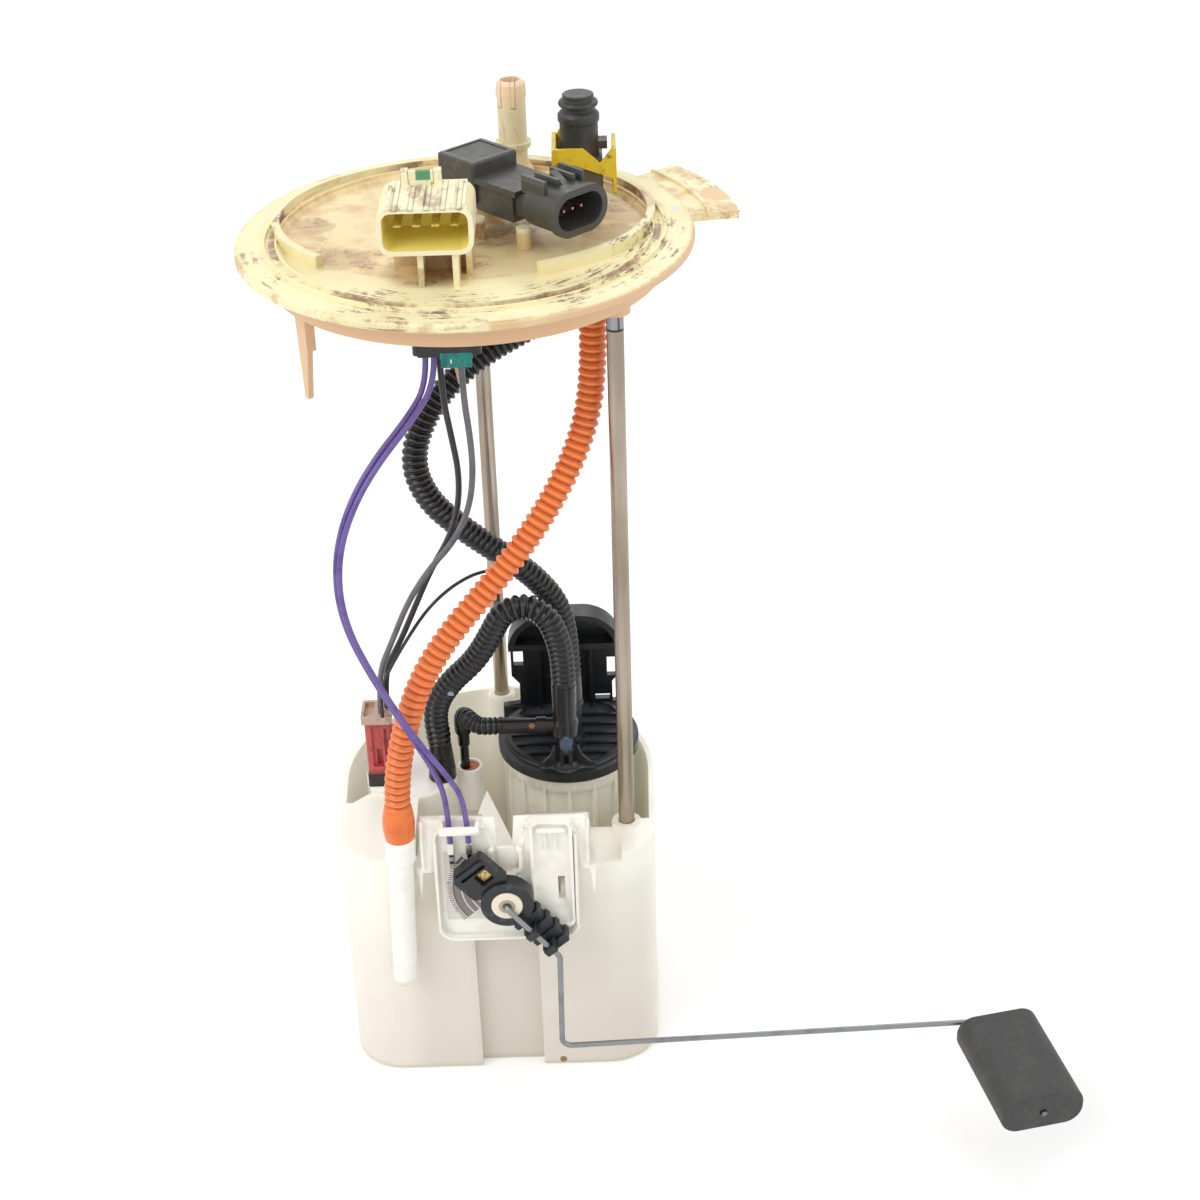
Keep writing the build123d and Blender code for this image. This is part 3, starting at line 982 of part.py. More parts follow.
def sender_bracket():
    """White bracket hooked over the reservoir's rim: band, side prongs, tray, guide bar and pocket."""
    back, front, rim = BRACKET_BACK_Y, BRACKET_FRONT_Y, BRACKET_RIM_Y
    top, band_bottom = BRACKET_TOP, BRACKET_TOP - BRACKET_BAND
    band = front_plate(mirrored([(BRACKET_HALF, top), (BRACKET_HALF + 0.6, band_bottom + 14),
                                 (PRONG_HALF, band_bottom + 3), (PRONG_HALF - 1.4, PRONG_Z),
                                 (PRONG_HALF - 2.6, band_bottom), (TRAY_HALF - 1, band_bottom)]), front,
                       back)
    tray_centre = (TRAY_BOTTOM + top - 2) / 2
    tray_outline = Pos(SENDER_X, tray_centre) * RectangleRounded(2 * TRAY_HALF, top - 2 - TRAY_BOTTOM,
                                                                 TRAY_CORNER)
    tray_hole = offset(tray_outline, -RIM_WALL)
    body = band + front_slab(tray_outline, front, back) + front_slab(tray_outline - tray_hole, rim,
                                                                     front + 0.5)
    for side in (-1, 1):
        x = SENDER_X + side * (BRACKET_HALF - 0.8)
        body += block(x - 0.8, x + 0.8, rim + 1, back, band_bottom + 3, top)
    # raised panel on the right with its slots
    px0, px1 = PANEL_X
    panel = Pos((px0 + px1) / 2, (top + 84) / 2) * RectangleRounded(px1 - px0, top - 84, 3)
    body += front_slab(panel, rim - 0.6, front + 0.5)
    inner = Pos((px0 + px1) / 2, (top + 84) / 2) * RectangleRounded(px1 - px0 - 3, top - 84 - 4, 2)
    body -= front_slab(inner, rim - 1, rim + 1.2)
    body -= block(25.2, 28.0, rim - 2, back + 1, 97.4, 108.8)
    body += block(17.6, 28.6, rim - 0.4, front, 131.5, 133.5)
    for x in (20.6, 24.8):
        body += block(x - 0.8, x + 0.8, rim - 0.2, front, 123.5, 132)
    # notch in the top, over a half-round pocket
    body -= front_plate(mirrored([(NOTCH_TOP_HALF, top + 1), (NOTCH_FOOT_HALF, NOTCH_FOOT)]), rim - 2,
                        back + 1)
    pocket = Pos(SENDER_X, NOTCH_BOTTOM + NOTCH_POCKET_HALF) * Circle(NOTCH_POCKET_HALF)
    pocket_low = NOTCH_BOTTOM + NOTCH_POCKET_HALF
    pocket += Pos(SENDER_X, (pocket_low + NOTCH_FOOT) / 2) * Rectangle(2 * NOTCH_POCKET_HALF,
                                                                       NOTCH_FOOT - pocket_low)
    body -= front_slab(pocket, rim - 2, back + 1)
    ring = offset(pocket, RIM_WALL) - pocket
    opening = block(SENDER_X - NOTCH_FOOT_HALF, SENDER_X + NOTCH_FOOT_HALF, rim - 3, back + 1,
                    NOTCH_FOOT - 1, NOTCH_FOOT + 4)
    body += front_slab(ring, front - 2.4, back) - opening
    # bar that guides the two leads over the gap in the rim, on its end posts
    body -= block(-18.8, -6.4, rim - 1, front, top - 5, top)
    for x in (-19.6, -5.6):
        body += block(x - 0.8, x + 0.8, -71.2, front, 132.9, 136.3)
    body += block(-20.4, -4.8, -71.2, -69.9, 132.9, 136.3)
    # pivot boss, hooks over the rim and the pads that stand off the wall
    body += front_slab(Pos(SENDER_X, SENDER_PIVOT_Z) * Circle(PIVOT_BUSH_R + 1.6), rim, front + 0.5)
    body -= front_slab(Pos(SENDER_X, SENDER_PIVOT_Z) * Circle(PIVOT_BUSH_R - 2), rim - 1, back + 1)
    for x in (-20.0, 27.0):
        body += block(x - 4, x + 4, back - 1, CUP_INNER_Y + 2.2, CUP_HIGH + SEAT, CUP_HIGH + 3)
        body += block(x - 4, x + 4, CUP_INNER_Y + SEAT, CUP_INNER_Y + 2.2, CUP_HIGH - 8, CUP_HIGH + 3)
        body += block(x - 1, x + 1, back - 1, CUP_FRONT_Y - SEAT, TRAY_BOTTOM + 6, CUP_HIGH - 6)
    return body - sender_card()


def sender_card():
    """Ceramic card in the tray's left half, with its comb of contact teeth."""
    y1 = BRACKET_FRONT_Y + CARD_THICK / 2
    y0 = y1 - CARD_THICK
    card = block(*CARD_X, y0, y1, *CARD_Z)
    return card - front_slab(Pos(SENDER_X, SENDER_PIVOT_Z) * Circle(PIVOT_BUSH_R + 2.4), y0 - 1, y1 + 1)


def sender_terminals():
    """Two crimped terminals on the card's top edge."""
    pins = []
    card_face = BRACKET_FRONT_Y - CARD_THICK / 2
    for x in SENDER_PINS_X:
        pin = block(x - 0.9, x + 0.9, card_face - 0.8, card_face, 113.0, 124.0)
        pin += block(x - 1.3, x + 1.3, card_face - 2.4, card_face - SEAT, SENDER_CRIMP_TOP - 5.5,
                     SENDER_CRIMP_TOP)
        pins.append(pin)
    return Part() + pins


def pivot_bush():
    """White bush that the arm holder turns on; the wire's end turns in its bore."""
    centre = Pos(SENDER_X, SENDER_PIVOT_Z)
    body = front_slab(centre * Circle(PIVOT_BUSH_R), PIVOT_BUSH_FRONT_Y, BRACKET_RIM_Y)
    body += front_slab(centre * Circle(PIVOT_BUSH_R - 2 - FIT), BRACKET_RIM_Y - 1, BRACKET_BACK_Y - 0.5)
    return body - front_slab(centre * Circle(WIRE_R + RUNNING), PIVOT_BUSH_FRONT_Y - 1, BRACKET_BACK_Y + 1)


def holder_plane(y):
    """Face of the arm holder at a depth, with its own +X along the arm."""
    turn = math.radians(HOLDER_TURN)
    return Plane(origin=(SENDER_X, y, SENDER_PIVOT_Z), x_dir=(math.cos(turn), 0, math.sin(turn)),
                 z_dir=(0, -1, 0))


def holder_slab(face, y_front, y_back):
    """Slab of the arm holder from an outline along the arm."""
    return extrude(holder_plane(y_back) * face, y_back - y_front)


def outline(u, v, corner=1.0):
    """Rounded rectangle between two limits each way."""
    return Pos((u[0] + u[1]) / 2, (v[0] + v[1]) / 2) * RectangleRounded(u[1] - u[0], v[1] - v[0], corner)


def arm_holder():
    """Black carrier: head with a window, round boss and a tail whose hooks grip the wire."""
    front, back = HOLDER_Y
    body = holder_slab(Circle(HOLDER_RING_R), front, back)
    body += holder_slab(outline(HEAD_U, HEAD_V, 1.5), front + 1.4, back)
    body += holder_slab(outline((HEAD_U[0] + 3, HEAD_U[1]), (HEAD_V[0] - 2.4, HEAD_V[1] - 4), 1.5),
                        front + 3, back)
    body += holder_slab(outline(TAIL_U, (TAIL_V[0] + 1.5, TAIL_V[1] - 1), 1.0), front + 1.6, back)
    for u in (11.5, 17.0, 22.5, 28.0):
        body += holder_slab(outline((u - 1.4, u + 1.4), TAIL_V, 0.6), front + 0.6, back + 0.6)
    body += holder_slab(outline((HEAD_U[0] + 1, HEAD_U[0] + 2.6), (HEAD_V[0] + 1, HEAD_V[1] - 1), 0.5),
                        front + 0.4, back)
    body -= holder_slab(outline((-18.2, -12.2), (-1.2, 5.2), 0.8), front - 1, WINDOW_FLOOR_Y)
    body -= holder_slab(outline((-20.4, -19.0), (-6, 6.4), 0.4), front - 1, front + 3)
    # hooks over the wire
    for u in (16.0, 26.5):
        body += holder_slab(outline((u - 1.6, u + 1.6), (-3.6, 1.8), 0.5), WIRE_Y - WIRE_R - 0.9, back)
    body -= holder_slab(Circle(PIVOT_BUSH_R + RUNNING), front - 1, back + 1)
    return body - wire_body(WIRE_R + FIT)


def wiper_contact():
    """Brass contact seen through the head's window, with its fingers on the card."""
    return holder_slab(outline((-17.6, -12.8), (-0.6, 4.6), 0.3), WINDOW_FLOOR_Y - 0.7, WINDOW_FLOOR_Y)


def wire_body(r):
    """Bent steel wire from the pivot to the far end of the float."""
    turn = math.radians(FLOAT_TURN)
    far_x, far_z = WIRE_FAR
    reach = FLOAT_LONG + 4.5
    points = [(SENDER_X, BRACKET_RIM_Y - 2, SENDER_PIVOT_Z), (SENDER_X, WIRE_Y, SENDER_PIVOT_Z),
              (WIRE_ELBOW[0], WIRE_Y, WIRE_ELBOW[1]), (WIRE_LOW[0], WIRE_Y, WIRE_LOW[1]),
              (far_x, WIRE_Y, far_z), (far_x + reach * math.sin(turn), WIRE_Y - reach * math.cos(turn),
                                       far_z)]
    line = FilletPolyline(*points, radius=[1.6, WIRE_BEND, WIRE_BEND, WIRE_BEND])
    return sweep(Plane(origin=line @ 0, z_dir=line % 0) * Circle(r), path=line)


def float_body():
    """Dark foam float with an oval section, drilled along its length."""
    far_x, far_z = WIRE_FAR
    turn = math.radians(FLOAT_TURN)
    along = Vector(math.sin(turn), -math.cos(turn), 0)
    start = Vector(far_x, WIRE_Y, far_z) + along * ((WIRE_Y - FLOAT_START_Y) / math.cos(turn) + 0.6)
    plane = Plane(origin=start, x_dir=(math.cos(turn), math.sin(turn), 0), z_dir=along)
    body = extrude(plane * RectangleRounded(FLOAT_WIDE, FLOAT_THICK, FLOAT_THICK / 2 - 1.0), FLOAT_LONG)
    ends = body.faces().sort_by(Axis(tuple(start), tuple(along)))
    body = fillet(ends[0].edges() + ends[-1].edges(), FLOAT_EDGE)
    return body - wire_body(WIRE_R + FIT)


def return_hose():
    """Orange hose with its bulged cuff over the pipe."""
    hose = cord("return_hose", RETURN_ROUTE, HOSE_R)
    x, y, z = PIPE_TOP
    return hose + turned((x, y), (0, z), (5.6, z), (RETURN_CUFF_R, z + 3), (RETURN_CUFF_R, z + 9),
                         (HOSE_R, z + 14), (0, z + 14))


def pump_hose():
    """Black hose from the pump to the tee, with its flared cuff on the pump's outlet."""
    hose = cord("pump_hose", PUMP_ROUTE, HOSE_R)
    z = CUP_HIGH + SEAT
    return hose + turned(PUMP_OUTLET, (0, z), (PUMP_CUFF_R - 0.4, z), (PUMP_CUFF_R, z + 1),
                         (PUMP_CUFF_R, z + 6), (HOSE_R, z + 15), (0, z + 15))


NODES = {
    "flange": flange,
    "flange_terminals": flange_terminals,
    "terminal_lock": terminal_lock,
    "pressure_sensor": pressure_sensor,
    "sensor_grommet": sensor_grommet,
    "sensor_terminals": sensor_terminals,
    "outlet_fitting": outlet_fitting,
    "outlet_plug": outlet_plug,
    "retainer_clip": retainer_clip,
    "rod_right": lambda: rod(ROD_AT[0]),
    "rod_left": lambda: rod(ROD_AT[1]),
    "rod_stops": rod_stops,
    "harness_plug": harness_plug,
    "harness_plug_lock": harness_plug_lock,
    "return_hose": return_hose,
    "supply_hose": lambda: cord("supply_hose", SUPPLY_ROUTE, HOSE_R),
    "wire_grey": lambda: cord("wire_grey", GREY_ROUTE, LEAD_R),
    "wire_black": lambda: cord("wire_black", BLACK_ROUTE, LEAD_R),
    "wire_purple_left": lambda: cord("wire_purple_left", PURPLE_ROUTE, SENDER_LEAD_R),
    "wire_purple_right": lambda: cord("wire_purple_right", PURPLE_SECOND, SENDER_LEAD_R),
    "reservoir": reservoir,
    "guide_bushes": guide_bushes,
    "springs": springs,
    "fill_valve": fill_valve,
    "pump_sleeve": pump_sleeve,
    "pump": pump,
    "pump_isolator": pump_isolator,
    "inlet_strainer": inlet_strainer,
    "pump_connector_base": pump_connector_base,
    "pump_connector": pump_connector,
    "pump_connector_lock": pump_connector_lock,
    "ground_wire": lambda: cord("ground_wire", GROUND_ROUTE, GROUND_R),
    "pump_hose": pump_hose,
    "jumper_hose": lambda: cord("jumper_hose", JUMPER_ROUTE, JUMPER_R),
    "pump_tee": pump_tee,
    "jet_cup": jet_cup,
    "jet_seal": jet_seal,
    "jet_plug": jet_plug,
    "filter_housing": filter_housing,
    "filter_element": filter_element,
    "filter_cap": filter_cap,
    "return_pipe": return_pipe,
    "sender_bracket": sender_bracket,
    "sender_card": sender_card,
    "sender_terminals": sender_terminals,
    "pivot_bush": pivot_bush,
    "arm_holder": arm_holder,
    "wiper_contact": wiper_contact,
    "float_arm": lambda: wire_body(WIRE_R),
    "float": float_body,
}

os.makedirs("parts", exist_ok=True)
for node, make in NODES.items():
    export_step(make(), f"parts/{node}.step")
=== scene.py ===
"""Looks of an in-tank fuel pump module: a flange that slides on two rods over a reservoir."""
import json
import math

import bmesh
import bpy
from mathutils import Matrix, Vector


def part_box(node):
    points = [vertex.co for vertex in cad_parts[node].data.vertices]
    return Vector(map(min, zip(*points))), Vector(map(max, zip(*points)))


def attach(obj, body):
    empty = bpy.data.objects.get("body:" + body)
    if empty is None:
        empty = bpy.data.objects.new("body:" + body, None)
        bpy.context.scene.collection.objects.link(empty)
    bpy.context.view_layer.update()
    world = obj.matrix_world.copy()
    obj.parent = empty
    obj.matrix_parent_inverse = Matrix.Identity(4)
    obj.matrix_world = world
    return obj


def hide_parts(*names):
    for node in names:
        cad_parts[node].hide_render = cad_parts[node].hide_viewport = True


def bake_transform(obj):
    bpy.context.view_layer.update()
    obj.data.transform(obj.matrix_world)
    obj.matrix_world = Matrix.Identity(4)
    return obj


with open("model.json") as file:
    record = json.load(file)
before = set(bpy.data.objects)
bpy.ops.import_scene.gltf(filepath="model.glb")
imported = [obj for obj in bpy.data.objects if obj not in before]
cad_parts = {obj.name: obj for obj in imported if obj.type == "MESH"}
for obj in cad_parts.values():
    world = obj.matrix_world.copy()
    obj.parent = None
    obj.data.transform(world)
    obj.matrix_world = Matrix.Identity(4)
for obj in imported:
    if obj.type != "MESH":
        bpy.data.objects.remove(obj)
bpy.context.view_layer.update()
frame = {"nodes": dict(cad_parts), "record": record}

# The studio: a pale sheet under the module, wide soft lamps at the upper left and right, and a camera
# that looks down on the front at 31 degrees.
# The sheet shows a little brighter to the camera, so that only the contact shadows are left on it.
def placed(name, data):
    """New object in the scene that holds some data."""
    made = bpy.data.objects.new(name, data)
    bpy.context.collection.objects.link(made)
    return made


def feed(tree, value, socket):
    """Gives a socket a number, or another node's result."""
    if isinstance(value, bpy.types.NodeSocket):
        tree.links.new(value, socket)
    else:
        socket.default_value = value


def added(tree, kind, **given):
    """New node in a tree. Names that begin with a small letter are settings, and the others are inputs."""
    made = tree.nodes.new(kind)
    for name, value in given.items():
        if name[0].islower():
            setattr(made, name, value)
        else:
            feed(tree, value, made.inputs[name.replace("_", " ")])
    return made


def worked(tree, operation, *values, clamp=False):
    """Result of one step of arithmetic, on numbers or on other nodes' results."""
    made = added(tree, "ShaderNodeMath", operation=operation, use_clamp=clamp)
    for value, socket in zip(values, made.inputs):
        feed(tree, value, socket)
    return made.outputs[0]


def seen_directly(tree):
    """1 for what the camera sees, also in a mirror or through glass, and 0 for light that falls on things."""
    sight = tree.nodes.new("ShaderNodeLightPath").outputs
    straight = worked(tree, "MAXIMUM", sight["Is Camera Ray"], sight["Is Glossy Ray"])
    return worked(tree, "MAXIMUM", straight, sight["Is Transmission Ray"])


ROOM_LIGHT, ROOM_SEEN = 0.84, 1.0
studio = bpy.context.scene
studio.view_settings.view_transform = "Standard"
studio.world = bpy.data.worlds.new("soft_room")
studio.world.use_nodes = True
room = studio.world.node_tree
room.nodes["Background"].inputs["Color"].default_value = (1.0, 1.0, 1.0, 1.0)
brightness = added(room, "ShaderNodeMapRange", Value=seen_directly(room), To_Min=ROOM_LIGHT, To_Max=ROOM_SEEN)
feed(room, brightness.outputs["Result"], room.nodes["Background"].inputs["Strength"])
LAMPS = (("lamp_left", (-1.1, -0.9, 1.5), (0.0, 0.0, 0.2), 1.1, 12.0),
         ("lamp_right", (1.5, -0.6, 1.1), (0.05, 0.0, 0.2), 0.9, 4.0),
         ("lamp_back", (0.2, 1.4, 1.4), (0.0, 0.0, 0.25), 0.8, 3.5))
for lamp_name, place, target, lamp_size, watts in LAMPS:
    lamp = bpy.data.lights.new(lamp_name, "AREA")
    lamp.shape = "SQUARE"
    lamp.size = lamp_size
    lamp.energy = watts
    holder = placed(lamp_name, lamp)
    holder.location = place
    holder.rotation_euler = (Vector(target) - Vector(place)).to_track_quat("-Z", "Y").to_euler()

SHEET_HALF, SHEET_DROP = 4.0, 0.0004
corners = [(x * SHEET_HALF, y * SHEET_HALF, -SHEET_DROP) for x, y in ((-1, -1), (1, -1), (1, 1), (-1, 1))]
sheet = placed("sheet", bpy.data.meshes.new("sheet"))
sheet.data.from_pydata(corners, [], [(0, 1, 2, 3)])
PAPER_WHITE, PAPER_LIFT = 0.80, 0.26
paper = bpy.data.materials.new("paper")
paper.use_nodes = True
ink = paper.node_tree
ink.nodes["Principled BSDF"].inputs["Base Color"].default_value = (PAPER_WHITE, PAPER_WHITE, PAPER_WHITE, 1.0)
ink.nodes["Principled BSDF"].inputs["Roughness"].default_value = 0.9
lift = added(ink, "ShaderNodeEmission", Strength=worked(ink, "MULTIPLY", seen_directly(ink), PAPER_LIFT))
whole = ink.nodes.new("ShaderNodeAddShader")
ink.links.new(ink.nodes["Principled BSDF"].outputs[0], whole.inputs[0])
ink.links.new(lift.outputs[0], whole.inputs[1])
ink.links.new(whole.outputs[0], ink.nodes["Material Output"].inputs["Surface"])
sheet.data.materials.append(paper)

LENS = 63.753
CAMERA_RIGHT = (0.99955, -0.01550, -0.02551)
CAMERA_UP = (0.02986, 0.51908, 0.85420)
CAMERA_BACK = (0.0, -0.85458, 0.51932)
CAMERA_PLACE = (0.04525, -0.73419, 0.64178)
camera = placed("studio_camera", bpy.data.cameras.new("studio_camera"))
camera.data.sensor_width = 36.0
camera.data.lens = LENS
camera.matrix_world = Matrix([*zip(CAMERA_RIGHT, CAMERA_UP, CAMERA_BACK, CAMERA_PLACE), (0, 0, 0, 1)])
studio.camera = camera


# The reservoir: an open cup moulded in milky acetal, half round behind and square at the front, with a
# shallow channel up its face. Its walls are slightly wavy from the mould and yellow towards the floor.
def shade(*srgb):
    """Colour from 0 to 255 screen values, as the shader's own values."""
    return tuple(c / 255 / 12.92 if c <= 10 else ((c / 255 + 0.055) / 1.055) ** 2.4 for c in srgb) + (1.0,)


class Finish:
    """A material that is built up in layers over the plain shader, on the object's own coordinates.
    Its colours are given as screen values."""

    def __init__(self, name, colour, rough=0.4, **shine):
        self.material = bpy.data.materials.new(name)
        self.material.use_nodes = True
        self.tree = self.material.node_tree
        self.shader = self.tree.nodes["Principled BSDF"]
        self.place = self.tree.nodes.new("ShaderNodeTexCoord").outputs["Object"]
        self.colour = shade(*colour)
        self.relief = None
        self.shader.inputs["Base Color"].default_value = self.colour
        self.shader.inputs["Roughness"].default_value = rough
        for socket, value in shine.items():
            self.shader.inputs[socket.replace("_", " ")].default_value = value

    def node(self, kind, **inputs):
        return added(self.tree, "ShaderNode" + kind, **inputs)

    def calc(self, operation, *values):
        return worked(self.tree, operation, *values)

    def times(self, first, *others):
        """Product of masks and numbers."""
        for other in others:
            first = self.calc("MULTIPLY", first, other)
        return first

    def stretched(self, *scale):
        """The object's coordinates, scaled along each axis."""
        return self.node("Mapping", Vector=self.place, Scale=scale).outputs[0]

    def cloud(self, size, detail=4, place=None, rough=0.55):
        """Noise whose patches are about size metres across, from 0 to 1."""
        return self.node("TexNoise", Vector=place or self.place, Scale=1.0 / size, Detail=detail,
                         Roughness=rough).outputs[0]

    def band(self, value, low, high, out_low=0.0, out_high=1.0):
        """Smooth step between two limits, up or down."""
        return self.node("MapRange", interpolation_type="SMOOTHSTEP", Value=value, From_Min=low,
                         From_Max=high, To_Min=out_low, To_Max=out_high).outputs[0]

    def within(self, value, low, high, soft):
        """1 while value lies between two limits."""
        over_low = self.band(value, low - soft, low + soft)
        return self.times(over_low, self.band(value, high + soft, high - soft))

    def axis(self, letter):
        return self.node("SeparateXYZ", Vector=self.place).outputs[letter]

    def rise(self, low, high, strength=1.0):
        """Mask that grows from one height to another, up or down."""
        return self.band(self.axis("Z"), low, high, 0.0, strength)

    def patches(self, size, detail, low, high, strength=1.0, least=0.0, **grainy):
        """Mask of patches about size metres across, where noise goes from low to high."""
        return self.band(self.cloud(size, detail, **grainy), low, high, least, strength)

    def carried(self, name):
        """Value that the mesh itself carries at each point."""
        return self.node("Attribute", attribute_name=name).outputs["Fac"]

    def reach(self, centre, flat=(1, 1, 1)):
        """Distance from a point, measured only along the axes that flat keeps."""
        made = self.node("VectorMath", operation="DISTANCE", Vector=self.stretched(*flat))
        made.inputs[1].default_value = [c * f for c, f in zip(centre, flat)]
        return made.outputs["Value"]

    def spot(self, centre, radius, ragged=0.0, flat=(1, 1, 1), grain=0.004):
        """Round patch, 1 in its middle, whose edge wanders by about ragged metres."""
        wander = self.times(self.calc("SUBTRACT", self.cloud(grain, 5), 0.5), 4 * ragged)
        return self.band(self.calc("ADD", self.reach(centre, flat), wander), radius * 1.15, radius * 0.75)

    def offsets(self, centre):
        """Distances east and north of a point in the plan."""
        return [self.calc("SUBTRACT", self.axis(letter), c) for letter, c in zip("XY", centre)]

    def across(self, centre, degrees):
        """Distances from a point along a pair of axes that are turned in the plan."""
        east, north = self.offsets(centre)
        cosine, sine = math.cos(math.radians(degrees)), math.sin(math.radians(degrees))
        return (self.calc("ADD", self.times(east, cosine), self.times(north, sine)),
                self.calc("SUBTRACT", self.times(north, cosine), self.times(east, sine)))

    def smears(self, size, long):
        """Noise drawn out round the flange's axis, as dirt is when a part is turned in its seat."""
        east, north = self.offsets((0, 0))
        wound = self.node("CombineXYZ", X=self.times(self.calc("ARCTAN2", north, east), 1 / long),
                          Y=self.calc("DIVIDE", self.reach((0, 0, 0), (1, 1, 0)), size),
                          Z=self.calc("DIVIDE", self.axis("Z"), size))
        return self.node("TexNoise", Vector=wound.outputs[0], Scale=1.0, Detail=5.0, Roughness=0.6).outputs[0]

    def layer(self, colour, *masks):
        """Lays a colour over what is there, where the masks are 1."""
        made = self.node("Mix", data_type="RGBA")
        feed(self.tree, self.colour, made.inputs[6])
        made.inputs[7].default_value = shade(*colour)
        self.tree.links.new(self.times(*masks), made.inputs[0])
        self.colour = made.outputs[2]
        self.tree.links.new(self.colour, self.shader.inputs["Base Color"])

    def mottle(self, colour, *sizes, **grainy):
        """Lays a colour on in patches."""
        self.layer(colour, self.patches(*sizes, **grainy))

    def glaze(self, size, detail, low, high, place=None):
        """Roughness that wanders from low to high."""
        wander = self.band(self.cloud(size, detail, place), 0.0, 1.0, low, high)
        self.tree.links.new(wander, self.shader.inputs["Roughness"])

    def bump(self, height, depth):
        """Relief that is depth metres high."""
        made = self.node("Bump", Height=height, Distance=depth, Strength=1.0)
        if self.relief:
            self.tree.links.new(self.relief, made.inputs["Normal"])
        self.relief = made.outputs[0]
        self.tree.links.new(self.relief, self.shader.inputs["Normal"])

    def grain(self, size, detail, depth, place=None):
        """Relief of noise whose lumps are about size metres across."""
        self.bump(self.cloud(size, detail, place), depth)


def applied(piece):
    """Turns the piece's modifiers into its plain mesh."""
    bpy.context.view_layer.update()
    mesh = bpy.data.meshes.new_from_object(piece.evaluated_get(bpy.context.evaluated_depsgraph_get()))
    piece.modifiers.clear()
    piece.data = mesh


CREASE = math.radians(40)
WELD = 0.000002


def moulded(node, finish, soften=0.0003, squeezed=None):
    """Stands for a CAD node: its faces welded and shaded smooth, its edges softened, and its finish on.
    A piece given squeezed points, as a spring is, keeps its place baked into its mesh and rides on no body."""
    mesh = frame["nodes"][node].data.copy()
    mesh.name = node + "_skin"
    work = bmesh.new()
    work.from_mesh(mesh)
    bmesh.ops.remove_doubles(work, verts=work.verts, dist=WELD)
    work.to_mesh(mesh)
    work.free()
    mesh.shade_smooth()
    mesh.set_sharp_from_angle(angle=CREASE)
    piece = placed(node + "_skin", mesh)
    if soften:
        edge = piece.modifiers.new("edge", "BEVEL")
        edge.width = soften
        edge.segments = 2
        edge.limit_method = "ANGLE"
        edge.angle_limit = CREASE
        edge.use_clamp_overlap = True
    flats = piece.modifiers.new("flats", "WEIGHTED_NORMAL")
    flats.keep_sharp = True
    applied(piece)
    piece.data.materials.clear()
    piece.data.materials.append(finish.material)
    if squeezed:
        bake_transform(piece)
    else:
        bodies = frame["record"]["behaviour"]["bodies"]
        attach(piece, next(body for body, nodes in bodies.items() if node in nodes))
    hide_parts(node)
    return piece


CUP_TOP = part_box("reservoir")[1][2]
STAIN = (0.0239, -0.058, 0.0024)
# Where the sender and its carrier keep the light off the front, from the left to the right of each patch,
# with its softness and strength.
CUP_FRONT = (-0.040, -0.050)
SHADED_HEIGHTS = (0.108, 0.090)
SHADED_WIDTHS = ((-0.037, 0.064, 0.007, 0.34), (-0.012, 0.016, 0.003, 0.30))
# Milky acetal scatters light in its walls, and a faint warm emission paints a glow into them, as of light
# through the walls.
MILKY_AND_PAINTED_GLOW = {"Subsurface_Weight": 0.3, "Subsurface_Scale": 0.006, "Subsurface_Radius": (1.0, 1.0, 0.85),
         "Emission_Color": shade(255, 244, 214), "Emission_Strength": 0.04}
cup = Finish("milky_acetal", (243, 236, 224), 0.36, **MILKY_AND_PAINTED_GLOW)
# Painted light: the cup lightens towards its top, as if lit through its walls.
cup.layer((255, 253, 240), cup.rise(0.055, CUP_TOP - 0.01))
cup.layer((224, 216, 202), cup.rise(0.05, 0.0, 0.55))
cup.mottle((222, 213, 196), 0.05, 3, 0.5, 0.8, 0.45)
cup.layer((206, 192, 150), cup.rise(0.0035, 0.0, 0.6))
below_sender = cup.times(cup.band(cup.axis("Y"), *CUP_FRONT), cup.rise(*SHADED_HEIGHTS))
for left, right, soft, strength in SHADED_WIDTHS:
    patch = cup.within(cup.axis("X"), left, right, soft)
    cup.layer((190, 182, 173), below_sender, patch, strength)
cup.layer((140, 96, 52), cup.spot(STAIN, 0.0018, 0.0006))
cup.glaze(0.012, 4, 0.30, 0.46)
cup.grain(0.03, 2, 0.0006)
cup.grain(0.0009, 3, 0.00002)
moulded("reservoir", cup, 0.0005)
bush_white = Finish("bush_acetal", (244, 240, 226), 0.4)
bush_white.mottle((216, 206, 184), 0.003, 3, 0.5, 0.75, 0.6)
bush_white.grain(0.002, 2, 0.00005)
moulded("guide_bushes", bush_white)

# The coil springs and the rods' stop washers: zinc-plated wire and stampings, loose in the guide tubes.
# The springs push the cup away from the flange, until the stops meet the bushes.
zinc = Finish("zinc_wire", (158, 158, 154), 0.35, Metallic=1.0)
zinc.mottle((122, 120, 112), 0.004, 3, 0.4, 0.7)
zinc.glaze(0.002, 3, 0.25, 0.5)
SPRING_FOOT, SPRING_HEAD = (corner[2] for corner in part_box("springs"))
moulded("springs", zinc, 0, squeezed=((0, 0, SPRING_FOOT), (0, 0, SPRING_HEAD)))
moulded("rod_stops", zinc, 0.0002)

# The fill valve: a soft black rubber umbrella, pulled through the floor from inside by its stem.
rubber = Finish("valve_rubber", (44, 44, 44), 0.7)
rubber.mottle((66, 64, 60), 0.003, 4, 0.5, 0.8)
rubber.grain(0.001, 3, 0.00003)
moulded("fill_valve", rubber)

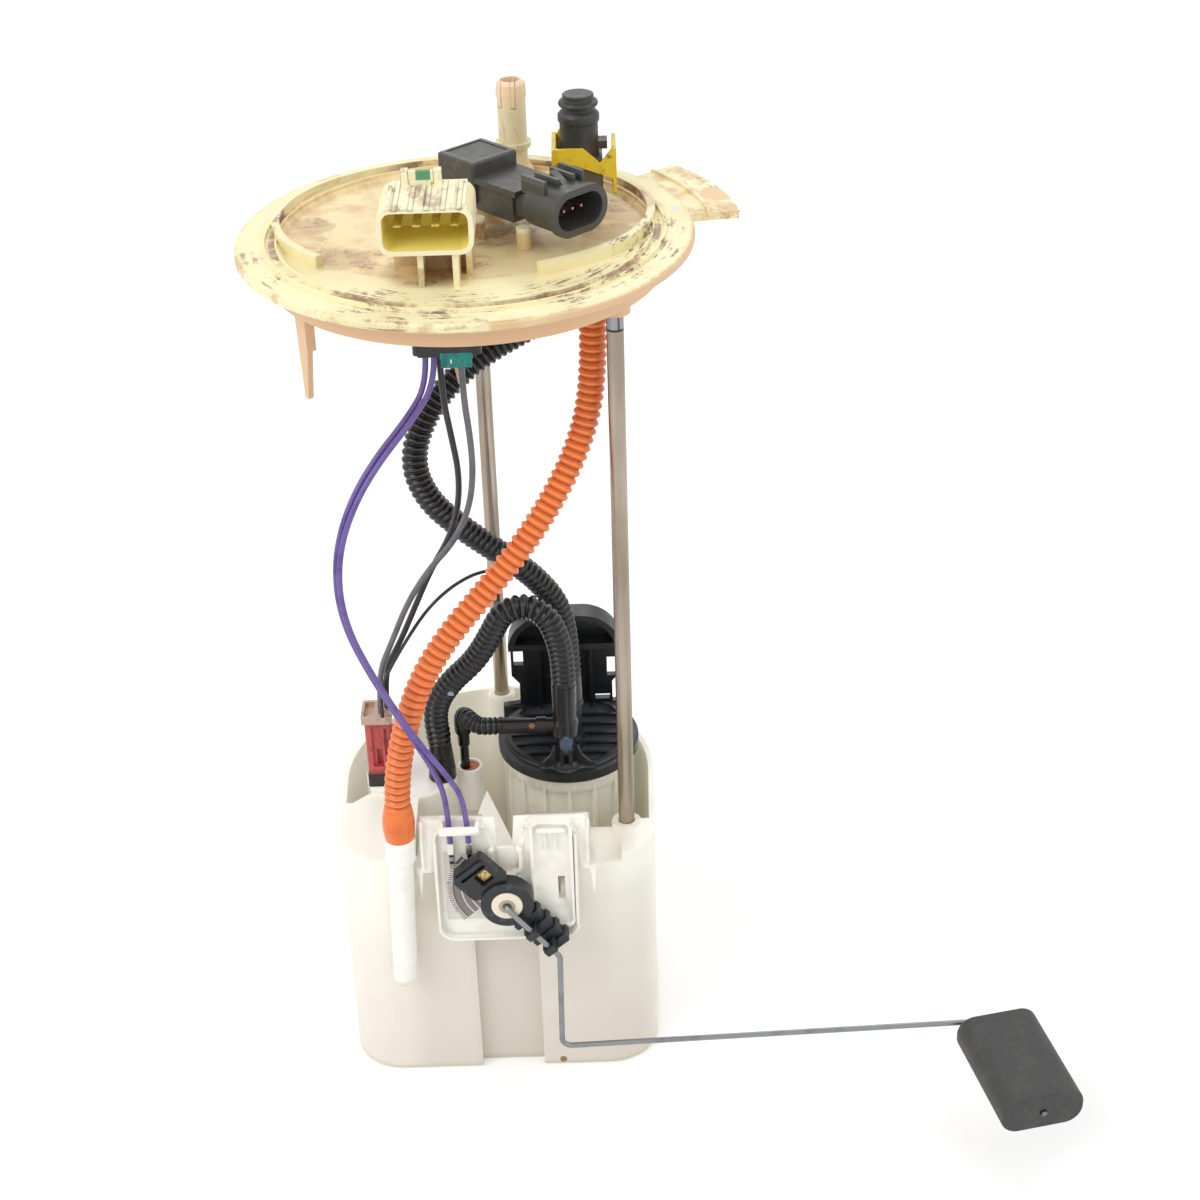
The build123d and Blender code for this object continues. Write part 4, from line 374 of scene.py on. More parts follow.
# The pump in its sleeve: a crimped steel can between plastic end caps, on a rubber isolator, with a woven
# strainer under it. The sleeve is a plain white moulding, open at the bottom, that hangs the pump in the cup.
sleeve = Finish("sleeve_acetal", (250, 248, 243), 0.34, **MILKY_AND_PAINTED_GLOW)
sleeve.mottle((228, 223, 212), 0.03, 3, 0.5, 0.75, 0.6)
sleeve.glaze(0.01, 3, 0.28, 0.45)
sleeve.grain(0.02, 2, 0.0003)
moulded("pump_sleeve", sleeve, 0.0004)
can = Finish("pump_can", (176, 176, 172), 0.3, Metallic=1.0)
can.mottle((140, 138, 130), 0.012, 4, 0.5, 0.8, 0.6)
can.grain(0.01, 2, 0.00005, can.stretched(1, 1, 0.05))
moulded("pump", can)
moulded("pump_isolator", rubber)
STRAINER_WEAVE = 0.0006
strainer = Finish("strainer_mesh", (228, 226, 214), 0.8)
weave = [strainer.calc("SINE", strainer.times(strainer.axis(letter), math.tau / STRAINER_WEAVE))
         for letter in "XY"]
strainer.bump(strainer.calc("MAXIMUM", *weave), 0.0001)
strainer.mottle((176, 168, 146), 0.01, 4, 0.5, 0.8, 0.7)
moulded("inlet_strainer", strainer, 0)

# The pump's connector: a black base on the sleeve, a pinkish red nylon plug with slots for its latches, and
# a tan lock plate pressed over the top of it, where the leads come out. The lock is brown with old fuel.
CONNECTOR_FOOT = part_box("pump_connector")[0][2]
black_base = Finish("connector_black", (38, 38, 40), 0.45)
black_base.mottle((62, 61, 60), 0.004, 4, 0.5, 0.8, 0.7)
black_base.grain(0.0008, 2, 0.00003)
moulded("pump_connector_base", black_base)
pink = Finish("pink_nylon", (196, 84, 86), 0.38)
pink.mottle((150, 54, 58), 0.004, 3, 0.48, 0.7, 0.7)
pink.layer((108, 40, 42), pink.rise(CONNECTOR_FOOT + 0.004, CONNECTOR_FOOT, 0.7))
pink.glaze(0.002, 3, 0.28, 0.5)
pink.grain(0.0007, 3, 0.00003)
moulded("pump_connector", pink)
tan = Finish("tan_nylon", (196, 168, 152), 0.5)
tan.mottle((140, 112, 98), 0.003, 5, 0.5, 0.7, 0.8)
tan.grain(0.0008, 3, 0.00004)
moulded("pump_connector_lock", tan)

# The fuel filter: a ribbed white can with a pleated element in it, closed by a black nylon cap. The cap has
# spokes, stepped tiers, two hose ports and an upright panel with an arched head, and it is greyed by fuel.
filter_white = Finish("filter_acetal", (230, 229, 217), 0.4, **MILKY_AND_PAINTED_GLOW)
filter_white.mottle((196, 194, 180), 0.02, 3, 0.48, 0.75, 0.7)
filter_white.grain(0.01, 2, 0.0002)
moulded("filter_housing", filter_white, 0)
FUEL_MARK = (0.06, 0.01)
pleats = Finish("pleated_paper", (226, 216, 186), 0.85)
pleats.layer((186, 166, 124), pleats.rise(*FUEL_MARK, 0.7))
pleats.grain(0.001, 3, 0.0001)
moulded("filter_element", pleats, 0)
CAP_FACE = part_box("filter_cap")[0][2]
cap_black = Finish("cap_nylon", (24, 26, 29), 0.3)
cap_black.mottle((58, 60, 64), 0.007, 5, 0.52, 0.8, 0.5)
cap_rim = cap_black.within(cap_black.axis("Z"), CAP_FACE + 0.0068, CAP_FACE + 0.0078, 0.0002)
cap_black.layer((74, 78, 84), cap_rim)
cap_black.glaze(0.003, 4, 0.22, 0.5)
cap_black.grain(0.0012, 3, 0.00006)
moulded("filter_cap", cap_black)
TEE_RUST, TEE_GLINT = (0.0157, -0.0112, 0.1425), (0.0297, 0, 0.1330)
tee_black = Finish("tee_nylon", (24, 25, 28), 0.2)
tee_black.layer((150, 92, 54), tee_black.spot(TEE_RUST, 0.0014, 0.0006))
tee_black.layer((84, 104, 122), tee_black.spot(TEE_GLINT, 0.0029, 0.0007, (1, 0, 0.5)))
tee_black.grain(0.003, 3, 0.00008)
moulded("pump_tee", tee_black)

# The jet pump's cup, seal and elbow plug, between the pump and the filter: returned fuel drives it, and it
# keeps the cup full. The seal is orange rubber and shows at the cup's mouth.
moulded("jet_cup", sleeve)
orange_rubber = Finish("orange_rubber", (196, 116, 62), 0.6)
orange_rubber.mottle((132, 84, 48), 0.002, 4, 0.5, 0.75)
orange_rubber.grain(0.001, 3, 0.00003)
moulded("jet_seal", orange_rubber)
moulded("jet_plug", tee_black)

# The return pipe: a stiff white acetal tube clipped to the front of the cup, cut at a slant at its foot.
# It takes the return hose's cuff over its upper end.
PIPE_FOOT = (0.060, 0.0565)
pipe_white = Finish("pipe_acetal", (254, 252, 245), 0.3)
pipe_white.mottle((236, 230, 216), 0.02, 3, 0.5, 0.8, 0.6)
pipe_white.layer((226, 216, 190), pipe_white.rise(*PIPE_FOOT, 0.8))
pipe_white.grain(0.02, 2, 0.0003, pipe_white.stretched(1, 1, 0.3))
moulded("return_pipe", pipe_white)


SHARP = math.radians(50)


def cast(name, work, finish):
    """Piece from a worked mesh, in a finish, shaded smooth but at its sharp edges."""
    mesh = bpy.data.meshes.new(name)
    work.to_mesh(mesh)
    work.free()
    mesh.shade_smooth()
    mesh.set_sharp_from_angle(angle=SHARP)
    mesh.materials.append(finish.material)
    return placed(name, mesh)


def lathed(name, profile, centre, sides, finish):
    """Piece turned about an upright line, from closed (radius, height) points above its foot's centre."""
    work = bmesh.new()
    turns = [math.tau * k / sides for k in range(sides)]
    rings = [[work.verts.new((centre[0] + r * math.cos(turn), centre[1] + r * math.sin(turn), centre[2] + z))
              for turn in turns] for r, z in profile]
    for ring, after in zip(rings, rings[1:] + rings[:1]):
        for k in range(sides):
            work.faces.new((ring[k], ring[(k + 1) % sides], after[(k + 1) % sides], after[k]))
    bmesh.ops.recalc_face_normals(work, faces=work.faces)
    return cast(name, work, finish)


PIPE_MOUTH = (-0.0364, -0.066, 0.125)
BEAD_PROFILE = ((0.0036, -0.0002), (0.0060, -0.0002), (0.0062, 0.0006), (0.0062, 0.0036), (0.0058, 0.0044),
                (0.0036, 0.0044))
bead = lathed("return_pipe_bead", BEAD_PROFILE, PIPE_MOUTH, 48, pipe_white)
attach(bead, "reservoir")

# The level sender: a white acetal carrier that hooks over the cup's rim and holds a ceramic card. The card
# carries a printed grey resistor with two pale tracks, worn by the wiper, and two crimped brass terminals.
PIVOT = (0.0049, -0.0664, 0.1027)
sender_white = Finish("sender_acetal", (255, 252, 242), 0.34)
sender_white.mottle((236, 229, 212), 0.012, 3, 0.5, 0.75, 0.6)
sender_white.mottle((222, 210, 182), 0.004, 5, 0.64, 0.80, 0.4)
sender_white.glaze(0.006, 3, 0.26, 0.44)
sender_white.grain(0.008, 2, 0.00012)
moulded("sender_bracket", sender_white, 0)


PLATE_ROUNDING = 0.0004


def plate(name, outline, y_front, thick, finish):
    """Flat plate that faces the front, cut to (x, z) points, with its edges rounded."""
    work = bmesh.new()
    face = work.faces.new([work.verts.new((x, y_front, z)) for x, z in outline])
    swept = bmesh.ops.extrude_face_region(work, geom=[face])
    back = [corner for corner in swept["geom"] if isinstance(corner, bmesh.types.BMVert)]
    bmesh.ops.translate(work, verts=back, vec=(0, thick, 0))
    bmesh.ops.recalc_face_normals(work, faces=work.faces)
    bmesh.ops.bevel(work, geom=work.edges[:], offset=PLATE_ROUNDING, segments=2, affect="EDGES", profile=0.5)
    return cast(name, work, finish)


NOTCH_TOP, NOTCH_FOOT = 0.1373, 0.1224
WEB_FRONT, WEB_THICK = -0.0658, 0.0014
WEBS = (
    ("sender_web_left", ((-0.0043, NOTCH_TOP), (0.0011, NOTCH_TOP), (0.0019, NOTCH_FOOT),
                         (0.0003, NOTCH_FOOT))),
    ("sender_web_right", ((0.0141, NOTCH_TOP), (0.0087, NOTCH_TOP), (0.0075, NOTCH_FOOT),
                          (0.0095, NOTCH_FOOT))),
    ("sender_tongue", ((-0.0006, 0.1226), (0.0104, 0.1226), (0.0104, 0.1152), (0.0052, 0.1104),
                       (0.0002, 0.1146))))
for web, outline in WEBS:
    web_piece = plate(web, outline, WEB_FRONT, WEB_THICK, sender_white)
    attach(web_piece, "reservoir")

# What is printed on the card, from an inner to an outer radius: the resistor, its two worn tracks, its dark
# outer edge, and the strip under the comb.
CARD_PRINT = (
    (0.0135, 0.0222, 0.00008, (138, 128, 124)), (0.01535, 0.01585, 0.00006, (232, 230, 226)),
    (0.01825, 0.01875, 0.00006, (232, 230, 226)), (0.0214, 0.0221, 0.0001, (112, 100, 94)),
    (0.0226, 0.0241, 0.0001, (112, 106, 102)))
PRINT_TURN = (-0.72, 0.75)
ceramic = Finish("card_ceramic", (226, 222, 214), 0.5)
card_turn = ceramic.calc("ARCTAN2", ceramic.calc("SUBTRACT", ceramic.axis("Z"), PIVOT[2]),
                         ceramic.calc("SUBTRACT", PIVOT[0], ceramic.axis("X")))
card_reach = ceramic.reach(PIVOT, (1, 0, 1))
printed = ceramic.within(card_turn, *PRINT_TURN, 0.008)
for inner, outer, soft, tint in CARD_PRINT:
    ceramic.layer(tint, printed, ceramic.within(card_reach, inner, outer, soft))
ceramic.grain(0.0006, 3, 0.00002)
moulded("sender_card", ceramic, 0.0001)
CRIMP_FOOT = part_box("sender_terminals")[1][2] - 0.0055
crimp_tin = Finish("crimp_brass", (226, 222, 212), 0.22, Metallic=0.9)
crimp_tin.layer((150, 144, 134), crimp_tin.rise(CRIMP_FOOT, CRIMP_FOOT - 0.0008))
for top, foot in ((0.0002, -0.0022), (-0.0042, -0.0056)):
    fold = crimp_tin.within(crimp_tin.axis("Z"), CRIMP_FOOT + foot, CRIMP_FOOT + top, 0.0003)
    crimp_tin.layer((44, 42, 42), fold)
crimp_tin.grain(0.0008, 2, 0.00006)
moulded("sender_terminals", crimp_tin, 0.0002)
bush_cream = Finish("pivot_acetal", (240, 230, 208), 0.36)
bore_reach = bush_cream.reach(PIVOT, (1, 0, 1))
bush_cream.layer((180, 168, 146), bush_cream.band(bore_reach, 0.0036, 0.0031))
bush_cream.layer((120, 114, 106), bush_cream.band(bore_reach, 0.0021, 0.0017))
bush_cream.grain(0.001, 2, 0.00003)
moulded("pivot_bush", bush_cream)


# The comb of contact teeth along the resistor's outer edge: fired silver, one tooth to each step of level.
# It is printed and fired on the card like the resistor.
def begun(name, result, **inputs):
    """New node tree that gives a result, and its inputs, each with its usual number or its kind of socket."""
    tree = bpy.data.node_groups.new(name, "GeometryNodeTree")
    for label, usual in inputs.items():
        kind = "NodeSocket" + {int: "Int", float: "Float"}.get(type(usual), usual)
        socket = tree.interface.new_socket(label.replace("_", " "), in_out="INPUT", socket_type=kind)
        if not isinstance(usual, str):
            socket.default_value = usual
    tree.interface.new_socket(result, in_out="OUTPUT", socket_type="NodeSocketGeometry")
    return tree, tree.nodes.new("NodeGroupInput").outputs


def ended(tree, geometry, finish):
    """Makes the geometry real, puts a finish on it and gives it as the tree's result."""
    real = added(tree, "GeometryNodeRealizeInstances", Geometry=geometry)
    dressed = added(tree, "GeometryNodeSetMaterial", Geometry=real.outputs["Geometry"], Material=finish)
    feed(tree, dressed.outputs["Geometry"], tree.nodes.new("NodeGroupOutput").inputs[0])
    return tree


def comb_tree():
    """Row of like teeth round an arc that faces -Y."""
    tree, given = begun("tooth_comb", "Comb", Base="Geometry", Radius=0.023, Start_Turn=0.0, Sweep=1.0,
                        Tooth_Length=0.001, Tooth_Width=0.0004, Tooth_Thickness=0.0002, Count=30,
                        Centre="Vector", Finish="Material")
    row = added(tree, "GeometryNodeCurveArc", mode="RADIUS", Resolution=given["Count"],
                Radius=given["Radius"], Start_Angle=given["Start Turn"], Sweep_Angle=given["Sweep"])
    stops = added(tree, "GeometryNodeCurveToPoints", mode="EVALUATED", Curve=row.outputs["Curve"])
    tooth_size = added(tree, "ShaderNodeCombineXYZ", X=given["Tooth Length"], Y=given["Tooth Thickness"],
                       Z=given["Tooth Width"])
    tooth = added(tree, "GeometryNodeMeshCube", Size=tooth_size.outputs[0])
    teeth = added(tree, "GeometryNodeInstanceOnPoints", Points=stops.outputs["Points"],
                  Instance=tooth.outputs["Mesh"], Rotation=stops.outputs["Rotation"])
    upright = added(tree, "GeometryNodeTransform", Geometry=teeth.outputs["Instances"],
                    Translation=given["Centre"], Rotation=(math.pi / 2, 0.0, 0.0))
    return ended(tree, upright.outputs["Geometry"], given["Finish"])


def grown(name, base, tree, **inputs):
    """Plain mesh of a node tree's result on a base object, which is then removed."""
    modifier = base.modifiers.new(tree.name, "NODES")
    modifier.node_group = tree
    keys = {socket.name.replace(" ", "_"): socket.identifier for socket in tree.interface.items_tree
            if socket.item_type == "SOCKET" and socket.in_out == "INPUT"}
    for label, value in inputs.items():
        modifier[keys[label]] = value
    bpy.context.view_layer.update()
    mesh = bpy.data.meshes.new_from_object(base.evaluated_get(bpy.context.evaluated_depsgraph_get()))
    mesh.name = name
    bpy.data.objects.remove(base)
    return placed(name, mesh)


silver = Finish("fired_silver", (236, 232, 224), 0.4, Metallic=0.3)
silver.mottle((176, 170, 160), 0.0012, 3, 0.5, 0.7)
comb_base = placed("comb_base", bpy.data.meshes.new("comb_base"))
comb = grown("sender_comb", comb_base, comb_tree(), Radius=0.0237, Start_Turn=math.pi - 0.55, Sweep=1.27,
             Tooth_Length=0.0019, Tooth_Width=0.0005, Tooth_Thickness=0.00024, Count=29,
             Centre=PIVOT, Finish=silver.material)
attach(comb, "reservoir")

# The float arm: a black nylon holder that turns on the bush, with a brass wiper in its window, a bent steel
# wire snapped into its back and a float of closed-cell foam rubber pushed on the wire's end.
holder_black = Finish("holder_nylon", (32, 33, 36), 0.34)
holder_black.mottle((70, 76, 84), 0.004, 4, 0.55, 0.75, 0.6)
holder_black.glaze(0.002, 4, 0.26, 0.55)
holder_black.grain(0.001, 3, 0.00004)
moulded("arm_holder", holder_black)
brass = Finish("wiper_brass", (206, 178, 116), 0.28, Metallic=1.0)
brass.mottle((120, 92, 50), 0.0012, 4, 0.45, 0.65)
moulded("wiper_contact", brass, 0.0001)
wire_steel = Finish("arm_steel", (146, 148, 152), 0.34, Metallic=1.0)
wire_steel.mottle((128, 128, 130), 0.012, 4, 0.45, 0.7)
wire_steel.grain(0.0006, 2, 0.00001)
moulded("float_arm", wire_steel, 0)
foam = Finish("float_foam", (62, 62, 62), 0.6)
foam.mottle((76, 76, 73), 0.008, 5, 0.48, 0.7, 0.7)
foam.mottle((46, 46, 46), 0.0011, 2, 0.60, 0.66, 0.55)
foam.glaze(0.003, 3, 0.5, 0.72)
foam.grain(0.0009, 4, 0.00012)
moulded("float", foam, 0.0006)

# The flange: one ivory acetal moulding that closes the tank, with the four-way shroud and the vapour pipe on
# it. Sun has yellowed its top; road dirt is ground into the grooves of its rim and against its walls.
PLAN = (1, 1, 0)
FLANGE_TOP = 0.355
RIM_UNDERSIDE = FLANGE_TOP - 0.0035
RIM_EDGE = (0.0815, 0.0838)
RIM_CORNER = (0.0826, 0.0834)
RIGHT, FRONT = (0.0, 0.040), (0.006, -0.004)
GROOVE = (0.0692, 0.0716)
HAIRLINES_FROM = (0.066, 0.070)
TAB_PATCH = (0.0930, 0.0300, 0)
SCRAPE = (0.0775, 0.0169, FLANGE_TOP)
DAM_CENTRE = (-0.001, 0.014, 0.0)
DAM_REACH, DAM_SQUASH = 0.0675, 1.198
SHROUD_HALL = ((-0.0259, 0.0047), (-0.0495, -0.0245), (0.3672, 0.3818))
SHROUD_TOP = (0.3818, 0.3826)
SHROUD_RIB_PITCH = 0.0055
VAPOUR_PIPE = (0.017, 0.060, 0.0)
PIPE_EDGE = (0.0100, 0.0090)
PIPE_LIP = (0.3838, 0.3846)
GRIME = (138, 102, 86)
SHELTERED = (228, 190, 150)
ivory = Finish("flange_acetal", (244, 235, 190), 0.4)
height = ivory.axis("Z")
axis_reach = ivory.reach((0, 0, 0), PLAN)
on_top = ivory.within(height, RIM_UNDERSIDE, FLANGE_TOP + 0.0055, 0.0002)
ivory.mottle((232, 212, 158), 0.03, 4, 0.45, 0.75, 0.6)
dam = ivory.reach(DAM_CENTRE, (1, DAM_SQUASH, 0))
floor_zone = ivory.times(on_top, ivory.band(dam, DAM_REACH + 0.0005, DAM_REACH - 0.0005))
ivory.layer((240, 220, 170), floor_zone, ivory.patches(0.03, 5, 0.3, 0.6, least=0.5))
ivory.layer((220, 184, 136), floor_zone, ivory.patches(0.020, 8, 0.45, 0.62, 0.8, rough=0.65))
# Where dirt has settled, each as x, y and radius, and how thick it lies.
FLOOR_GRIME = (
    (-0.0585, 0.0165, 0.0070, 0.8), (-0.055, -0.004, 0.006, 0.8), (-0.047, -0.0176, 0.010, 0.8),
    (-0.032, -0.021, 0.010, 0.8), (-0.0128, -0.0359, 0.013, 0.9), (0.003, -0.027, 0.008, 0.9),
    (0.0092, -0.004, 0.010, 1.0), (0.019, 0.006, 0.010, 1.0), (0.058, 0.0277, 0.010, 0.9),
    (0.046, 0.006, 0.010, 0.7))
# Broad soft patches of dust and painted shade on the floor, under the sensor and the shroud and against the
# inside of the dam, each as x, y and radius.
FLOOR_DUST_AND_SHADE = ((0.0600, 0.0200, 0.012), (0.0520, -0.0020, 0.010), (0.0120, -0.0010, 0.014),
              (-0.0120, -0.0330, 0.016), (-0.0580, 0.0120, 0.008), (-0.0430, -0.0200, 0.010))
for x, y, radius in FLOOR_DUST_AND_SHADE:
    ivory.layer((188, 156, 116), ivory.spot((x, y, 0), radius, 0.003, PLAN, 0.012), on_top, 0.55)
scuffs = ivory.times(ivory.patches(0.0026, 10, 0.42, 0.62, least=0.25, rough=0.8),
                     ivory.patches(0.008, 8, 0.44, 0.58, rough=0.72))
for x, y, radius, strength in FLOOR_GRIME:
    ivory.layer(GRIME, ivory.spot((x, y, 0), radius, 0.003, PLAN), strength, on_top, scuffs)
RIM_GRIME = (
    (-0.0300, -0.0600, 0.013, 1.0), (-0.0239, -0.0770, 0.009, 1.0), (0.002, -0.0680, 0.016, 0.9),
    (0.0350, -0.0570, 0.014, 1.0), (0.0530, -0.0440, 0.012, 1.0), (0.066, -0.0230, 0.012, 1.0),
    (0.0720, -0.0010, 0.010, 0.9), (-0.0688, -0.0450, 0.009, 0.9),
    (-0.0795, -0.0214, 0.008, 0.7), (-0.060, 0.0560, 0.010, 0.5), (0.030, 0.0760, 0.012, 0.5),
    (0.089, 0.0424, 0.008, 1.0), (0.0985, 0.0110, 0.007, 1.0))
dragged = ivory.calc("ADD", ivory.smears(0.0016, 0.30), ivory.cloud(0.006, 10, rough=0.78))
wound = ivory.band(dragged, 1.0, 1.16)
for x, y, radius, strength in RIM_GRIME:
    ivory.layer(GRIME, ivory.spot((x, y, 0), radius, 0.004, PLAN), strength, on_top, wound)
in_groove = ivory.within(axis_reach, *GROOVE, 0.0004)
ivory.layer((160, 126, 98), on_top, in_groove, ivory.patches(0.018, 8, 0.44, 0.60, 0.95, rough=0.7))
rim_edge = ivory.band(axis_reach, *RIM_EDGE)
ivory.layer((214, 178, 128), on_top, rim_edge, ivory.patches(0.012, 8, 0.44, 0.6, 0.8, rough=0.7))
hairlines = ivory.band(ivory.smears(0.0005, 0.4), 0.64, 0.70, 0.0, 0.55)
ivory.layer((180, 148, 112), on_top, hairlines, ivory.band(axis_reach, *HAIRLINES_FROM))
ivory.layer((228, 194, 146), on_top, ivory.spot(TAB_PATCH, 0.0070, 0.003, PLAN))
ivory.layer((214, 224, 234), ivory.spot(SCRAPE, 0.0020, 0.0014))
ivory.layer(SHELTERED, ivory.band(height, RIM_UNDERSIDE + 0.0004, RIM_UNDERSIDE - 0.0002))
rim_side = ivory.times(ivory.band(height, FLANGE_TOP - 0.0002, FLANGE_TOP - 0.0008),
                       ivory.band(axis_reach, *RIM_CORNER))
front_right = ivory.times(ivory.band(ivory.axis("X"), *RIGHT), ivory.band(ivory.axis("Y"), *FRONT))
ivory.layer(SHELTERED, rim_side, front_right)
above = ivory.band(height, FLANGE_TOP + 0.0045, FLANGE_TOP + 0.0060)
ivory.layer((246, 238, 204), above)
shroud_top = ivory.band(height, *SHROUD_TOP)
rubbed = ivory.patches(0.008, 8, 0.46, 0.62, 0.85, place=ivory.stretched(1, 0.45, 1), rough=0.7)
ivory.layer((176, 148, 122), shroud_top, rubbed)
pipe_zone = ivory.times(ivory.band(ivory.reach(VAPOUR_PIPE, PLAN), *PIPE_EDGE), above)
streaked = ivory.patches(0.005, 8, 0.50, 0.72, 0.8, place=ivory.stretched(1, 1, 0.35), rough=0.75)
ivory.layer((226, 214, 176), pipe_zone)
ivory.layer((146, 138, 112), pipe_zone, streaked)
ivory.layer((240, 212, 176), pipe_zone, ivory.band(height, *PIPE_LIP))
hall = [ivory.within(ivory.axis(letter), *limits, 0.0002) for letter, limits in zip("XYZ", SHROUD_HALL)]
ivory.layer((252, 236, 128), *hall)
ribs = ivory.calc("SINE", ivory.times(ivory.axis("X"), math.tau / SHROUD_RIB_PITCH))
ivory.bump(ivory.times(shroud_top, ivory.band(ribs, 0.2, 0.8)), 0.0006)
ivory.glaze(0.006, 4, 0.32, 0.55)
ivory.grain(0.004, 3, 0.00008)
ivory.bump(ivory.smears(0.0008, 0.3), 0.00005)
flange_skin = moulded("flange", ivory, 0.0004)
# The rods' bosses are short, and end above the foot of their solids.
BOSS_FOOT, BOSS_RISE, BOSS_REACH = 0.331, 0.0066, 0.0062
for rod in ("rod_right", "rod_left"):
    rod_centre = (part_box(rod)[0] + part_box(rod)[1]) / 2
    for point in flange_skin.data.vertices:
        if point.co.z < BOSS_FOOT + 0.002 and math.dist(point.co.xy, rod_centre.xy) < BOSS_REACH:
            point.co.z += BOSS_RISE
blade_tin = Finish("blade_brass", (214, 192, 112), 0.4, Metallic=0.2)
blade_tin.mottle((160, 138, 70), 0.002, 4, 0.45, 0.7)
moulded("flange_terminals", blade_tin, 0.0001)
LOCK_LOW, LOCK_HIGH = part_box("terminal_lock")
LOCK_SPAN = LOCK_HIGH[0] - LOCK_LOW[0]
green = Finish("green_insert", (240, 232, 198), 0.5)
bared = green.within(green.axis("X"), LOCK_LOW[0] + 0.30 * LOCK_SPAN, LOCK_LOW[0] + 0.88 * LOCK_SPAN, 0.0001)
green.layer((82, 150, 108), bared, green.rise(LOCK_HIGH[2] - 0.0034, LOCK_HIGH[2] - 0.0030))
green.mottle((166, 150, 116), 0.002, 4, 0.52, 0.7, 0.7)
moulded("terminal_lock", green)

# The tank pressure sensor: a charcoal nylon box on a rubber grommet, with an oval three-way connector that
# looks over the rim. Road dust lies on its lid and in its corners.
SENSOR_LID = 0.3790
LID_CENTRE, LID_TURN = (0.005, 0.0185), -47.0
PANEL_HALF, SEAM_HALF = 0.0060, 0.0068
SENSOR_DUST = (0.366, 0.354)
sensor_grey = Finish("sensor_nylon", (66, 66, 64), 0.42)
lid_u, lid_v = sensor_grey.across(LID_CENTRE, LID_TURN)
lid_top = sensor_grey.rise(SENSOR_LID - 0.0005, SENSOR_LID - 0.0001)
panel, seam = (sensor_grey.times(sensor_grey.within(lid_u, -half, half, 0.00015),
                                 sensor_grey.within(lid_v, -half - 0.0005, half + 0.0005, 0.00015))
               for half in (PANEL_HALF, SEAM_HALF))
sensor_grey.layer((84, 84, 80), lid_top, sensor_grey.calc("SUBTRACT", 1.0, seam))
sensor_grey.layer((22, 22, 22), lid_top, seam)
sensor_grey.layer((78, 78, 74), lid_top, panel)
sensor_grey.layer((112, 104, 88), sensor_grey.rise(*SENSOR_DUST, 0.6))
sensor_grey.mottle((106, 98, 84), 0.006, 8, 0.50, 0.75, 0.6, rough=0.75)
sensor_grey.glaze(0.004, 4, 0.3, 0.58)
sensor_grey.grain(0.001, 3, 0.00005)
moulded("pressure_sensor", sensor_grey)
moulded("sensor_grommet", rubber)
pin_copper = Finish("pin_copper", (206, 140, 150), 0.3, Metallic=0.9)
pin_copper.mottle((150, 100, 110), 0.001, 3, 0.45, 0.7)
moulded("sensor_terminals", pin_copper, 0.0001)

# The fuel outlet: an upright quick-connect fitting in charcoal nylon, held by a yellow clip, with a dust plug
# in its mouth. Dirt has gathered in the clip's corners.
FITTING_DUST = (0.380, 0.366)
fitting_grey = Finish("fitting_nylon", (48, 48, 47), 0.4)
fitting_grey.mottle((84, 80, 70), 0.006, 6, 0.48, 0.75, 0.7, rough=0.7)
fitting_grey.layer((120, 108, 88), fitting_grey.rise(*FITTING_DUST, 0.55))
fitting_grey.glaze(0.004, 4, 0.3, 0.58)
fitting_grey.grain(0.001, 3, 0.00005)
moulded("outlet_fitting", fitting_grey)
moulded("outlet_plug", fitting_grey)
yellow = Finish("clip_nylon", (228, 196, 46), 0.4)
yellow.mottle((206, 168, 40), 0.008, 3, 0.45, 0.7, 0.7)
yellow.mottle((112, 92, 50), 0.004, 8, 0.54, 0.68, 0.85, rough=0.75)
yellow.grain(0.001, 3, 0.00005)
moulded("retainer_clip", yellow)

# The guide rods: ground steel tube, pressed into the flange's bosses. They are dulled brown by fuel but for a
# bright ring under each boss, between two dark lines, where the press tool held them.
BRIGHT_RING = (0.3313, 0.3376)
rod_steel = Finish("rod_steel", (178, 166, 150), 0.3, Metallic=1.0)
rod_steel.mottle((140, 128, 112), 0.02, 4, 0.42, 0.66, place=rod_steel.stretched(1, 1, 0.12))
rod_steel.mottle((206, 196, 182), 0.006, 5, 0.56, 0.7, 0.7, place=rod_steel.stretched(1, 1, 0.05))
rod_steel.layer((150, 140, 126), rod_steel.rise(BRIGHT_RING[0] - 0.03, BRIGHT_RING[0], 0.7))
ringed = rod_steel.rise(BRIGHT_RING[0] - 0.0002, BRIGHT_RING[0] + 0.0002)
rod_steel.layer((150, 152, 156), ringed)
drawn = rod_steel.patches(0.0014, 2, 0.46, 0.56, place=rod_steel.stretched(1, 0.2, 0.01))
rod_steel.layer((84, 84, 88), ringed, drawn)
for edge_height in BRIGHT_RING:
    dark_line = rod_steel.within(rod_steel.axis("Z"), edge_height - 0.0004, edge_height + 0.0004, 0.0002)
    rod_steel.layer((54, 52, 52), dark_line)
rod_steel.glaze(0.003, 4, 0.2, 0.42, rod_steel.stretched(1, 1, 0.1))
rod_steel.grain(0.0012, 4, 0.00002, rod_steel.stretched(1, 1, 0.15))
moulded("rod_right", rod_steel, 0.0002)
moulded("rod_left", rod_steel, 0.0002)

# The harness plug under the flange: a black nylon housing on the blades, with a teal lock that slides across
# its wire side.
moulded("harness_plug", black_base)
teal = Finish("teal_lock", (0, 138, 128), 0.36)
teal.mottle((0, 92, 92), 0.003, 4, 0.46, 0.7)
teal.grain(0.001, 3, 0.00004)
moulded("harness_plug_lock", teal)

